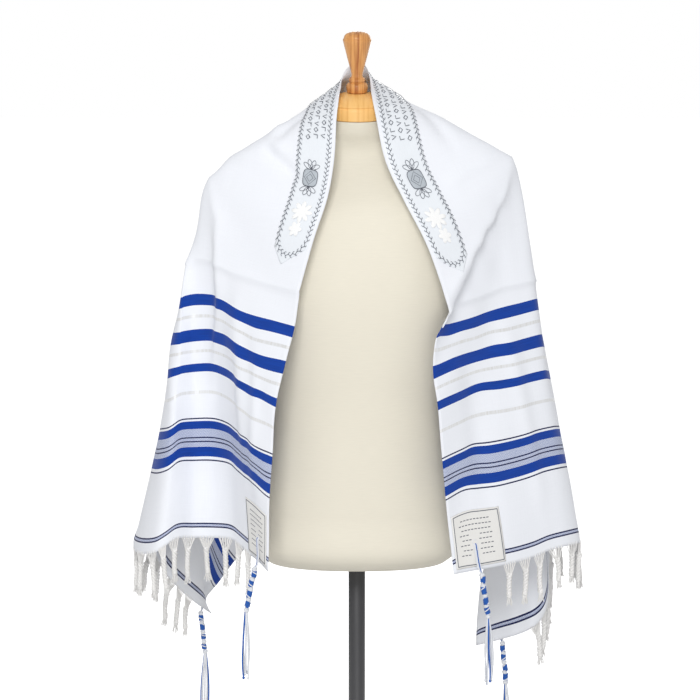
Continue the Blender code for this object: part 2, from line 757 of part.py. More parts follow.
def main():
    for item in list(bpy.data.objects):
        bpy.data.objects.remove(item, do_unlink=True)
    cloth = Cloth()
    make_shawl(cloth)
    make_neckband(cloth)
    make_squares(cloth)
    for side in HALVES:
        make_fringe(cloth, side)
        for depth_name in ("front", "back"):
            make_corner_tassel(cloth, depth_name, side)
    make_torso()
    make_turned("neck_cap", CAP_PROFILE, NECK_TOP, NECK_LEAN, "wood")
    make_turned("knob", KNOB_PROFILE, NECK_TOP, NECK_LEAN, "wood")
    make_turned("pole", POLE_PROFILE, (0.0, POLE_Y, 0.0), 0.0, "metal")
    make_turned("base", BASE_PROFILE, (0.0, 0.0, 0.0), 0.0, "metal")


main()
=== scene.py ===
"""Striped prayer shawl draped over a limbless dress form on a pole stand: how it looks.

Metres, +Z up, the front faces -Y. A place on the cloth is (u, w): u from the neck edge to the
back edge, w along the whole length from the middle of the back, the right half positive.
"""
import math

import bpy
import numpy as np
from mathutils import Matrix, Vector


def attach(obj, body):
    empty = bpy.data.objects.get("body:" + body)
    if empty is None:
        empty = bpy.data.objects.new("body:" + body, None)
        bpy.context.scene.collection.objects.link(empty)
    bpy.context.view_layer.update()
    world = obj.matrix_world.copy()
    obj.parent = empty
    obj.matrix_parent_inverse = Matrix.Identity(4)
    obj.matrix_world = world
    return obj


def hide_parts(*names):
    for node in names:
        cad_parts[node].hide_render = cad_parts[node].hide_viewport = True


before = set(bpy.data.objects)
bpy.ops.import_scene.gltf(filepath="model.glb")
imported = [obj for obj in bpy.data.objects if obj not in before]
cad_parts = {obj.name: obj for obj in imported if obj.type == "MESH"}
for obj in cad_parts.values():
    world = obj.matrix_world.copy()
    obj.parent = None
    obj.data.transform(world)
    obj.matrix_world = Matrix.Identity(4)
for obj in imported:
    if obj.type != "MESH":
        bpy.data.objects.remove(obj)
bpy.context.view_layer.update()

bl_info = {
    "name": "Draped prayer shawl",
    "version": (1, 0, 0),
    "blender": (4, 5, 0),
    "location": "View3D > Sidebar > Shawl",
    "description": "Builds a striped prayer shawl draped over a dress form",
    "category": "Object",
}

BODY = "root"

# ---------------------------------------------------------------- how the cloth hangs
CLOTH_WIDTH = 0.80          # neck edge to back edge
HALF_LENGTH = 0.90          # middle of the back to one hem
SEAM_GAP = 0.0003           # between the solids of two pieces that are sewn together
FADE_WINDOW = (-24, -16, -8, 0, 8, 16, 24)  # degrees; the folds fade towards this average
FADE_FROM = (10.0, 24.0)    # degrees from straight down the length towards the back edge
FADE_TO = (120.0, 150.0)
EDGE_MARGIN = 0.006         # from an edge of the cloth to the satin
BAND_MIDDLE = 0.045         # the neckband's points and the eyelets, by their u
BAND_END = 0.064            # the neckband's inner edge, by its u
SQUARE_END = 0.098          # a corner square's inner edges
MIDDLE_CELLS = 18           # of the solid's grid: across, between the squares
LENGTH_CELLS = 34           # along one half, down to the square
BAND_ROWS = 16              # of those, under the neckband
TIP_REACH = 0.045           # eased about a shoulder point
TIP_EASE = 0.3
FOLD_EASE = 0.4
TOP_SPAN = (0.16, 0.26)     # from the middle of the back, where the easing of the top ends
EASE_PASSES = 4
NORMAL_STEP = 0.002         # over which the cloth's direction is read

# Middle of the back, shared by both halves: u, x, y, z
CENTRE_LINE = (
    (0.000, 0.004, 0.045, 1.621),
    (0.100, 0.010, 0.085, 1.530),
    (0.225, 0.022, 0.085, 1.425),
    (0.400, 0.024, 0.100, 1.275),
    (0.600, 0.024, 0.118, 1.080),
    (0.800, 0.024, 0.130, 0.885),
)

# Each half: the shoulder point, where that is on the cloth, and the rows of its rim.
# x is counted outwards from the middle of the form, so both halves read alike.
HALVES = {
    "right": {
        "outward": 1,
        "shoulder": (0.262, 0.010, 1.472),
        "shoulder_uv": (0.225, 0.243),
        # neck edge: v, x, y, z
        "neck": (
            (0.000, 0.004, 0.045, 1.621),
            (0.028, 0.0170, 0.028, 1.606),
            (0.070, 0.022, -0.008, 1.577),
            (0.105, 0.0240, -0.047, 1.564),
            (0.140, 0.030, -0.072, 1.532),
            (0.205, 0.044, -0.088, 1.462),
            (0.270, 0.073, -0.110, 1.400),
            (0.360, 0.115, -0.135, 1.315),
            (0.430, 0.140, -0.140, 1.235),
            (0.455, 0.143, -0.140, 1.216),
            (0.500, 0.124, -0.148, 1.180),
            (0.535, 0.120, -0.150, 1.140),
            (0.610, 0.128, -0.155, 1.071),
            (0.760, 0.141, -0.160, 0.932),
            (0.900, 0.154, -0.165, 0.804),
        ),
        # hem: u, x, y, z
        "hem": (
            (0.000, 0.154, -0.165, 0.804),
            (0.105, 0.247, -0.112, 0.810),
            (0.155, 0.286, -0.085, 0.813),
            (0.205, 0.325, -0.055, 0.821),
            (0.250, 0.367, -0.022, 0.823),
            (0.320, 0.376, 0.045, 0.811),
            (0.425, 0.378, 0.160, 0.806),
            (0.470, 0.346, 0.164, 0.796),
            (0.550, 0.330, 0.085, 0.745),
            (0.662, 0.318, 0.000, 0.678),
            (0.740, 0.262, 0.030, 0.645),
            (0.800, 0.206, 0.070, 0.622),
        ),
        # back edge: v, x, y, z
        "back": (
            (0.900, 0.206, 0.070, 0.622),
            (0.800, 0.209, 0.082, 0.718),
            (0.755, 0.228, 0.104, 0.750),
            (0.700, 0.277, 0.122, 0.764),
            (0.650, 0.314, 0.146, 0.775),
            (0.530, 0.207, 0.168, 0.838),
            (0.400, 0.296, 0.240, 0.905),
            (0.240, 0.190, 0.225, 0.928),
            (0.120, 0.110, 0.175, 0.915),
            (0.000, 0.024, 0.130, 0.885),
        ),
        # broad swells: u, v, reach along u, reach along v, moved out, back, up
        "swells": (
            (0.130, 0.500, 0.070, 0.120, 0.000, 0.000, -0.012),
            (0.360, 0.000, 0.200, 0.280, 0.000, 0.036, 0.000),
            (0.270, 0.540, 0.110, 0.200, -0.005, 0.000, -0.010),
            (0.100, 0.730, 0.060, 0.120, 0.000, 0.000, -0.006),
            (0.148, 0.158, 0.068, 0.066, 0.000, 0.000, 0.018),
        ),
    },
    "left": {
        "outward": -1,
        "shoulder": (0.253, 0.010, 1.440),
        "shoulder_uv": (0.230, 0.278),
        "neck": (
            (0.000, -0.004, 0.045, 1.621),
            (0.028, 0.0190, 0.026, 1.605),
            (0.070, 0.026, -0.010, 1.575),
            (0.105, 0.0285, -0.049, 1.563),
            (0.140, 0.033, -0.072, 1.530),
            (0.205, 0.036, -0.088, 1.468),
            (0.270, 0.045, -0.110, 1.412),
            (0.360, 0.071, -0.135, 1.330),
            (0.425, 0.091, -0.140, 1.255),
            (0.479, 0.099, -0.145, 1.201),
            (0.537, 0.113, -0.150, 1.147),
            (0.598, 0.127, -0.155, 1.088),
            (0.697, 0.134, -0.165, 0.999),
            (0.762, 0.138, -0.175, 0.937),
            (0.900, 0.141, -0.190, 0.815),
        ),
        "hem": (
            (0.000, 0.141, -0.190, 0.815),
            (0.115, 0.180, -0.115, 0.832),
            (0.160, 0.205, -0.078, 0.841),
            (0.220, 0.261, -0.050, 0.838),
            (0.270, 0.298, -0.075, 0.842),
            (0.310, 0.320, -0.088, 0.828),
            (0.345, 0.338, -0.078, 0.818),
            (0.390, 0.368, -0.028, 0.808),
            (0.455, 0.383, 0.052, 0.804),
            (0.500, 0.350, 0.060, 0.798),
            (0.580, 0.325, -0.002, 0.765),
            (0.650, 0.300, 0.045, 0.725),
            (0.720, 0.269, 0.088, 0.682),
            (0.800, 0.256, 0.155, 0.657),
        ),
        "back": (
            (0.900, 0.256, 0.155, 0.657),
            (0.850, 0.288, 0.175, 0.684),
            (0.790, 0.266, 0.212, 0.674),
            (0.700, 0.220, 0.232, 0.735),
            (0.600, 0.165, 0.222, 0.808),
            (0.460, 0.270, 0.270, 0.886),
            (0.300, 0.170, 0.238, 0.912),
            (0.150, 0.080, 0.180, 0.902),
            (0.000, -0.024, 0.130, 0.885),
        ),
        "swells": (
            (0.090, 0.540, 0.075, 0.160, 0.000, 0.000, -0.006),
            (0.360, 0.000, 0.200, 0.280, 0.000, 0.036, 0.000),
            (0.310, 0.510, 0.110, 0.130, 0.011, 0.000, 0.000),
            (0.230, 0.530, 0.060, 0.110, 0.000, 0.000, -0.009),
            (0.130, 0.170, 0.064, 0.060, 0.000, 0.000, 0.017),
        ),
    },
}


def read_curve(rows, places):
    """Smooth curve through the rows (first column the place), read at the given places."""
    table = np.array(rows, dtype=float)
    table = table[np.argsort(table[:, 0])]
    at = table[:, 0]
    points = table[:, 1:]
    step = np.diff(at)[:, None]
    slope = np.diff(points, axis=0) / step
    tangent = np.vstack([slope[:1], slope[:1].repeat(len(at) - 2, axis=0), slope[-1:]])
    tangent[1:-1] = (slope[:-1] * step[1:] + slope[1:] * step[:-1]) / (step[1:] + step[:-1])
    places = np.clip(places, at[0], at[-1])
    row = np.clip(np.searchsorted(at, places, side="right") - 1, 0, len(at) - 2)
    span = step[row]
    q = (places - at[row])[:, None] / span
    start = (1 + 2 * q) * (1 - q) ** 2 * points[row] + q * (1 - q) ** 2 * span * tangent[row]
    end = q * q * (3 - 2 * q) * points[row + 1] + q * q * (q - 1) * span * tangent[row + 1]
    return start + end


def rim_points(half, u, v):
    """Where the rim of one half hangs, for places (u, v) on that rim. x counts outwards."""
    centre = [(row[0], half["outward"] * row[1], row[2], row[3]) for row in CENTRE_LINE]
    points = read_curve(centre, u)
    on_hem = v > HALF_LENGTH - 1e-9
    on_neck = u < 1e-9
    on_back = u > CLOTH_WIDTH - 1e-9
    points[on_hem] = read_curve(half["hem"], u[on_hem])
    points[on_neck] = read_curve(half["neck"], v[on_neck])
    points[on_back] = read_curve(half["back"], v[on_back])
    return points


def rim_at(half, turn):
    """Rim point in the direction turn from the shoulder point, and its distance on the cloth."""
    shoulder_u, shoulder_v = half["shoulder_uv"]
    du = np.sin(turn)
    dv = np.cos(turn)
    du = np.where(np.abs(du) < 1e-9, 1e-9, du)
    dv = np.where(np.abs(dv) < 1e-9, 1e-9, dv)
    reach_u = np.where(du > 0, CLOTH_WIDTH - shoulder_u, -shoulder_u) / du
    reach_v = np.where(dv > 0, HALF_LENGTH - shoulder_v, -shoulder_v) / dv
    reach = np.minimum(reach_u, reach_v)
    rim_u = np.clip(shoulder_u + du * reach, 0, CLOTH_WIDTH)
    rim_v = np.clip(shoulder_v + dv * reach, 0, HALF_LENGTH)
    side_edge = reach_u <= reach_v
    rim_u = np.where(side_edge, np.where(du > 0, CLOTH_WIDTH, 0.0), rim_u)
    rim_v = np.where(side_edge, rim_v, np.where(dv > 0, HALF_LENGTH, 0.0))
    return rim_points(half, rim_u, rim_v), reach


def rise(value, start, end):
    """Smooth step from 0 at start to 1 at end."""
    q = np.clip((value - start) / (end - start), 0.0, 1.0)
    return q * q * (3 - 2 * q)


def behind_shoulder(turn):
    """1 in directions from the shoulder point that lie behind it, 0 in those before it."""
    degrees = np.degrees(turn)
    return rise(degrees, *FADE_FROM) * (1 - rise(degrees, *FADE_TO))


def cloth_points(side, u, v):
    """Middle surface of one half of the cloth at the places (u, v)."""
    half = HALVES[side]
    du = u - half["shoulder_uv"][0]
    dv = v - half["shoulder_uv"][1]
    turn = np.arctan2(du, dv)
    rim, reach = rim_at(half, turn)
    share = (np.hypot(du, dv) / reach)[:, None]
    shoulder = np.array(half["shoulder"])
    points = shoulder + (rim - shoulder) * share
    # behind the shoulder the folds die away sooner than straight rays would let them
    calm_rim = sum(rim_at(half, turn + math.radians(aside))[0] for aside in FADE_WINDOW)
    calm_rim = calm_rim / len(FADE_WINDOW)
    points -= (rim - calm_rim) * behind_shoulder(turn)[:, None] * (share - share ** 2)
    for swell_u, swell_v, reach_u, reach_v, out, back, up in half["swells"]:
        share = np.exp(-((u - swell_u) / reach_u) ** 2 - ((v - swell_v) / reach_v) ** 2)
        points[:, 0] += out * share
        points[:, 1] += back * share
        points[:, 2] += up * share
    points[:, 0] *= half["outward"]
    return points


def grid_lines():
    """Lines across the cloth and along it, on which all its solids are made."""
    last = CLOTH_WIDTH - SQUARE_END
    first_lines = [0.0, EDGE_MARGIN, BAND_MIDDLE, BAND_END]
    middle_lines = list(np.linspace(SQUARE_END, last, MIDDLE_CELLS + 1))
    last_lines = [CLOTH_WIDTH - BAND_MIDDLE, CLOTH_WIDTH - EDGE_MARGIN, CLOTH_WIDTH]
    across = np.array(first_lines + middle_lines + last_lines)
    half = list(np.linspace(0, HALF_LENGTH - SQUARE_END, LENGTH_CELLS + 1))
    half += [HALF_LENGTH - BAND_MIDDLE, HALF_LENGTH - EDGE_MARGIN, HALF_LENGTH]
    along = np.array([-v for v in reversed(half[1:])] + half)
    return across, along


def ease_folds(points, u, w):
    """Round the shoulder points and the folds behind them by averaging neighbours."""
    row_steps = np.diff(w[:, 0])[:, None, None]
    rows_before, rows_after = row_steps[:-1], row_steps[1:]
    column_steps = np.diff(u[0])[None, :, None]
    columns_before, columns_after = column_steps[:, :-1], column_steps[:, 1:]
    for half in HALVES.values():
        tip_u, tip_v = half["shoulder_uv"]
        du = u - tip_u
        dv = w * half["outward"] - tip_v
        near = TIP_EASE * np.exp(-(du * du + dv * dv) / TIP_REACH ** 2)
        behind = behind_shoulder(np.arctan2(du, dv))
        away = rise(np.hypot(du, dv), TIP_REACH, 3 * TIP_REACH)
        over = 1 - rise(np.abs(w), *TOP_SPAN)
        weight = np.maximum(near, FOLD_EASE * np.maximum(behind * away, over))[:, :, None]
        for _ in range(EASE_PASSES):
            mean = points.copy()
            over_rows = ((points[:-2] * rows_after + points[2:] * rows_before)
                         / (rows_after + rows_before))
            over_columns = ((points[:, :-2] * columns_after + points[:, 2:] * columns_before)
                            / (columns_after + columns_before))
            mean[1:-1, 1:-1] = (over_rows[:, 1:-1] + over_columns[1:-1]) / 2
            mean[1:-1, -1] = over_rows[:, -1]
            mean[[0, -1], 1:-1] = over_columns[[0, -1]]
            points = points + weight * (mean - points)
    return points


# Light creases and troughs: side, half width, height (minus is a trough), sharp or soft,
# places (u, v)
CREASES = (
    ("left", 0.010, -0.0060, "soft", ((0.060, 0.128), (0.088, 0.165), (0.114, 0.214))),
    ("left", 0.011, -0.0060, "soft", ((0.136, 0.218), (0.090, 0.240), (0.050, 0.264))),
    ("left", 0.013, 0.0036, "soft", ((0.120, 0.150), (0.110, 0.205), (0.086, 0.226))),
    ("left", 0.018, 0.0080, "sharp", ((0.226, 0.280), (0.180, 0.350), (0.168, 0.474), (0.188, 0.560),
                                      (0.206, 0.660))),
    ("left", 0.018, 0.0034, "soft", ((0.120, 0.440), (0.105, 0.560), (0.098, 0.780))),
    ("left", 0.016, -0.0034, "soft", ((0.250, 0.400), (0.262, 0.560), (0.262, 0.800))),
    ("left", 0.012, 0.0030, "soft", ((0.060, 0.520), (0.052, 0.640), (0.060, 0.760))),
    ("right", 0.012, -0.0052, "soft", ((0.056, 0.084), (0.088, 0.135), (0.118, 0.222))),
    ("right", 0.010, 0.0040, "soft", ((0.200, 0.240), (0.130, 0.254), (0.070, 0.268))),
    ("right", 0.020, 0.0090, "sharp", ((0.224, 0.246), (0.172, 0.312), (0.100, 0.356), (0.038, 0.400),
                                       (0.000, 0.430))),
    ("right", 0.018, 0.0034, "soft", ((0.262, 0.330), (0.290, 0.450), (0.320, 0.620))),
    ("right", 0.020, -0.0030, "soft", ((0.070, 0.520), (0.078, 0.680), (0.080, 0.860))),
    ("right", 0.016, 0.0030, "soft", ((0.165, 0.500), (0.180, 0.680), (0.196, 0.860))),
    ("right", 0.030, 0.0060, "soft", ((0.260, 0.110), (0.480, 0.150), (0.780, 0.190))),
    ("right", 0.026, -0.0050, "soft", ((0.250, 0.060), (0.500, 0.085), (0.790, 0.110))),
    ("left", 0.030, 0.0060, "soft", ((0.280, 0.100), (0.500, 0.120), (0.780, 0.140))),
    ("left", 0.026, -0.0050, "soft", ((0.260, 0.170), (0.500, 0.200), (0.780, 0.240))),
    ("left", 0.024, -0.0045, "soft", ((0.260, 0.030), (0.500, 0.035), (0.780, 0.050))),
)
CREASE_FADE = 0.25          # of a crease's length, over which each of its ends fades
CREASE_END = 0.25           # of its height, left at its ends
PEAKS = {"right": (0.0085, 0.024), "left": (0.0025, 0.018)}     # shoulder points: height, reach
PRESSED_FOLDS = {"right": 0.450, "left": 0.425}    # ironed line across each half
PRESSED_HEIGHT = 0.0026
PRESSED_REACH = (0.014, 0.0022)     # above the line and below it
PRESSED_ROWS = (0.0040, 0.0028)     # nearest rows of the cloth above the line and below it
RIPPLE_HEIGHT = 0.0009      # of ripples that run down the loose parts
RIPPLE_SPAN = (0.30, 0.85)  # from the middle of the back, where they grow
SLACK_HEIGHT = 0.0007       # of slight hollows all over


class HangingCloth:
    """The cloth as it hangs: the solid's own grid, and a smooth surface through it."""

    def __init__(self):
        self.across, self.along = grid_lines()
        u, w = np.meshgrid(self.across, self.along)
        points = np.zeros(u.shape + (3,))
        for side, half in HALVES.items():
            rows = self.along * half["outward"] >= -1e-9
            flat = cloth_points(side, u[rows].ravel(), np.abs(w[rows]).ravel())
            points[rows] = flat.reshape(u[rows].shape + (3,))
        self.points = ease_folds(points, u, w)
        normal = np.cross(np.gradient(self.points, axis=0), np.gradient(self.points, axis=1))
        self.normals = normal / np.linalg.norm(normal, axis=2)[:, :, None]

    @staticmethod
    def _weights(lines, places):
        """For each place, the first of four grid lines around it and their smooth weights."""
        row = np.clip(np.searchsorted(lines, places, side="right") - 1, 0, len(lines) - 2)
        span = lines[row + 1] - lines[row]
        q = (places - lines[row]) / span
        ends = [(1 + 2 * q) * (1 - q) ** 2, q * q * (3 - 2 * q)]
        slopes = [q * (1 - q) ** 2 * span, q * q * (q - 1) * span]
        picks = np.clip(row[:, None] + np.arange(-1, 3), 0, len(lines) - 1)
        weights = np.zeros((len(places), 4))
        weights[:, 1] += ends[0]
        weights[:, 2] += ends[1]
        for end, slope in enumerate(slopes):
            middle = row + end
            first = middle == 0
            last = middle == len(lines) - 1
            before = np.where(first, 0.0, lines[middle] - lines[middle - 1])
            following = lines[np.minimum(middle + 1, len(lines) - 1)]
            after = np.where(last, 0.0, following - lines[middle])
            both = before + after
            # a three-point slope inside, a plain one at the two ends
            to_before = np.where(first, 0.0, np.where(last, 1.0, after / both))
            to_after = 1.0 - to_before
            safe_before = np.where(before > 0, before, 1.0)
            safe_after = np.where(after > 0, after, 1.0)
            weights[:, end] -= slope * to_before / safe_before
            weights[:, end + 1] += slope * (to_before / safe_before - to_after / safe_after)
            weights[:, end + 2] += slope * to_after / safe_after
        return picks, weights

    def base(self, u, w):
        """Smooth surface through the solid's grid at the places (u, w)."""
        rows, row_weights = self._weights(self.along, np.clip(w, -HALF_LENGTH, HALF_LENGTH))
        columns, column_weights = self._weights(self.across, np.clip(u, 0.0, CLOTH_WIDTH))
        found = np.zeros((len(u), 3))
        for i in range(4):
            for j in range(4):
                weight = (row_weights[:, i] * column_weights[:, j])[:, None]
                found += weight * self.points[rows[:, i], columns[:, j]]
        return found

    def read(self, u, w):
        """Points and outward normals of the cloth, light creases included."""
        u = np.atleast_1d(np.asarray(u, dtype=float))
        w = np.atleast_1d(np.asarray(w, dtype=float))
        low_u = np.clip(u - NORMAL_STEP, 0, CLOTH_WIDTH)
        high_u = np.clip(u + NORMAL_STEP, 0, CLOTH_WIDTH)
        low_w = np.clip(w - NORMAL_STEP, -HALF_LENGTH, HALF_LENGTH)
        high_w = np.clip(w + NORMAL_STEP, -HALF_LENGTH, HALF_LENGTH)
        over_w = self.base(u, high_w) - self.base(u, low_w)
        over_u = self.base(high_u, w) - self.base(low_u, w)
        normal = np.cross(over_w, over_u)
        normal /= np.linalg.norm(normal, axis=1)[:, None]
        return self.base(u, w) + normal * crease_height(u, w)[:, None], normal


def crease_height(u, w):
    """How far the light creases and the ironed folds stand off the smooth surface."""
    height = np.zeros(len(u))
    for side, reach, high, edge, places in CREASES:
        outward = HALVES[side]["outward"]
        aside = np.full(len(u), 1.0)
        spot = np.zeros(len(u))
        legs = len(places) - 1
        for leg in range(legs):
            start = np.array(places[leg])
            run = np.array(places[leg + 1]) - start
            du = u - start[0]
            dv = w * outward - start[1]
            share = np.clip((du * run[0] + dv * run[1]) / (run @ run), 0.0, 1.0)
            off = np.hypot(du - share * run[0], dv - share * run[1])
            nearer = off < aside
            aside = np.where(nearer, off, aside)
            spot = np.where(nearer, (leg + share) / legs, spot)
        ends = rise(spot, 0.0, CREASE_FADE) * (1 - rise(spot, 1 - CREASE_FADE, 1.0))
        fade = CREASE_END + (1 - CREASE_END) * ends
        power = 1 if edge == "sharp" else 2
        height += high * fade * np.exp(-(aside / reach) ** power)
    for side, (high, reach) in PEAKS.items():
        tip_u, tip_v = HALVES[side]["shoulder_uv"]
        off = np.hypot(u - tip_u, w * HALVES[side]["outward"] - tip_v)
        height += high * np.exp(-off / reach)
    for side, place in PRESSED_FOLDS.items():
        below = w * HALVES[side]["outward"] - place
        reach = np.where(below > 0, PRESSED_REACH[1], PRESSED_REACH[0])
        height += PRESSED_HEIGHT * np.exp(-np.abs(below) / reach)
    loose = rise(np.abs(w), *RIPPLE_SPAN)
    height += loose * RIPPLE_HEIGHT * np.sin(u * 46.0 + 3.0 * np.sin(w * 5.0))
    height += SLACK_HEIGHT * np.sin(u * 21.0 + w * 17.0) * np.sin(w * 29.0 - u * 9.0 + 1.0)
    return height


def hem_frame(cloth, side, u):
    """Point on the hem, direction along it, square away from the hem, and the outside's normal."""
    row, inner = (0, 1) if side == "left" else (-1, -2)

    def read(grid, place):
        return np.array([np.interp(place, cloth.across, grid[:, axis]) for axis in range(3)])

    point = read(cloth.points[row], u)
    normal = unit(read(cloth.normals[row], u))
    along = unit(read(cloth.points[row], u + 0.003) - read(cloth.points[row], u - 0.003))
    down = point - read(cloth.points[inner], u)
    down = unit(down - along * (down @ along))
    return point, along, down, normal


def unit(vector):
    """The vector at length one."""
    return vector / np.linalg.norm(vector)


CLOTH = HangingCloth()


# ---------------------------------------------------------------- making meshes
MERGE_WITHIN = 1e-5


def deselect():
    """Leave nothing selected."""
    bpy.ops.object.select_all(action="DESELECT")


def select_only(item):
    """Leave this object alone selected, and active."""
    deselect()
    item.select_set(True)
    bpy.context.view_layer.objects.active = item


def edit_all(item, *steps):
    """Take the steps in edit mode, all of the object's mesh selected."""
    select_only(item)
    bpy.ops.object.mode_set(mode="EDIT")
    bpy.ops.mesh.select_all(action="SELECT")
    for step in steps:
        step()
    bpy.ops.object.mode_set(mode="OBJECT")


def merge_doubles():
    """Make one of the points that lie in the same place, in edit mode."""
    bpy.ops.mesh.remove_doubles(threshold=MERGE_WITHIN)


def turn_outwards():
    """Turn the faces of a closed mesh outwards, in edit mode."""
    bpy.ops.mesh.normals_make_consistent(inside=False)


def fill_ends():
    """Close the open ends of a tube, in edit mode."""
    bpy.ops.mesh.select_all(action="DESELECT")
    bpy.ops.mesh.select_non_manifold()
    bpy.ops.mesh.edge_face_add()
    bpy.ops.mesh.select_all(action="SELECT")


def new_sheet(name, across, along):
    """Square sheet of the given cells; gives it back with its places from 0 to 1 both ways."""
    deselect()
    bpy.ops.mesh.primitive_grid_add(x_subdivisions=across, y_subdivisions=along, size=1.0,
                                    calc_uvs=True)
    item = bpy.context.object
    item.name = name
    item.data.name = name
    places = np.zeros(len(item.data.vertices) * 3)
    item.data.vertices.foreach_get("co", places)
    places = places.reshape(-1, 3) + 0.5
    return item, places[:, 0], places[:, 1]


def place_points(item, points):
    """Put the object's points where they belong."""
    item.data.vertices.foreach_set("co", np.ascontiguousarray(points, dtype=float).ravel())
    item.data.update()


def write_uv(item, layer_name, first, second):
    """Write two numbers of each point into a UV map of that name."""
    mesh = item.data
    if layer_name not in mesh.uv_layers:
        if len(mesh.uv_layers) == 1 and mesh.uv_layers[0].name == "UVMap":
            mesh.uv_layers[0].name = layer_name
        else:
            mesh.uv_layers.new(name=layer_name)
    corners = np.zeros(len(mesh.loops), dtype=int)
    mesh.loops.foreach_get("vertex_index", corners)
    pairs = np.stack([first[corners], second[corners]], axis=1)
    mesh.uv_layers[layer_name].data.foreach_set("uv", pairs.ravel())


def give_wall(item, thickness, offset=0.0):
    """Give a sheet its thickness."""
    wall = item.modifiers.new("wall", "SOLIDIFY")
    wall.thickness = thickness
    wall.offset = offset
    wall.use_even_offset = False
    apply_modifiers(item)


def apply_modifiers(item):
    """Apply every modifier of the object, in order."""
    select_only(item)
    for modifier in list(item.modifiers):
        bpy.ops.object.modifier_apply(modifier=modifier.name)


def close_form(item, smooth_angle=None):
    """Merge the doubles of a rolled-up sheet and turn its faces outwards."""
    edit_all(item, merge_doubles, turn_outwards)
    smooth(item, smooth_angle)


def smooth(item, angle=None):
    """Smooth shading, but for edges sharper than the angle."""
    select_only(item)
    if angle is None:
        bpy.ops.object.shade_smooth()
    else:
        bpy.ops.object.shade_smooth_by_angle(angle=math.radians(angle))


def finish_piece(item, material, slot, *nodes):
    """Give a piece its material, its body and the solids that it stands for; its slot is not used."""
    item.data.materials.clear()
    item.data.materials.append(material)
    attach(item, BODY)
    if nodes:
        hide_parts(*nodes)
    return item


def lathe(name, profile, around, foot=(0.0, 0.0, 0.0), lean=0.0, smooth_angle=40.0):
    """Turned form from a profile of radius and height, leaning forward about its foot."""
    rows = len(profile) - 1
    item, x, y = new_sheet(name, around, rows)
    turn = x * 2 * math.pi
    index = np.rint(y * rows).astype(int)
    table = np.array(profile)
    radius = table[index, 0]
    height = table[index, 1]
    side = radius * np.sin(turn)
    points = np.stack([foot[0] + radius * np.cos(turn),
                       foot[1] + side * math.cos(lean) - height * math.sin(lean),
                       foot[2] + side * math.sin(lean) + height * math.cos(lean)], axis=1)
    place_points(item, points)
    close_form(item, smooth_angle)
    return item


def add_yarns(name, strands, roundness=1):
    """One mesh of round yarns; each strand is rows of x, y, z and radius."""
    curve = bpy.data.curves.new(name, "CURVE")
    curve.dimensions = "3D"
    curve.bevel_depth = 1.0
    curve.bevel_resolution = roundness
    curve.use_fill_caps = True
    for strand in strands:
        strand = np.asarray(strand, dtype=float)
        spline = curve.splines.new("POLY")
        spline.points.add(len(strand) - 1)
        points = np.hstack([strand[:, :3], np.ones((len(strand), 1))])
        spline.points.foreach_set("co", points.ravel())
        spline.points.foreach_set("radius", strand[:, 3])
    item = bpy.data.objects.new(name, curve)
    bpy.context.scene.collection.objects.link(item)
    select_only(item)
    bpy.ops.object.convert(target="MESH")
    item = bpy.context.object
    smooth(item)
    return item


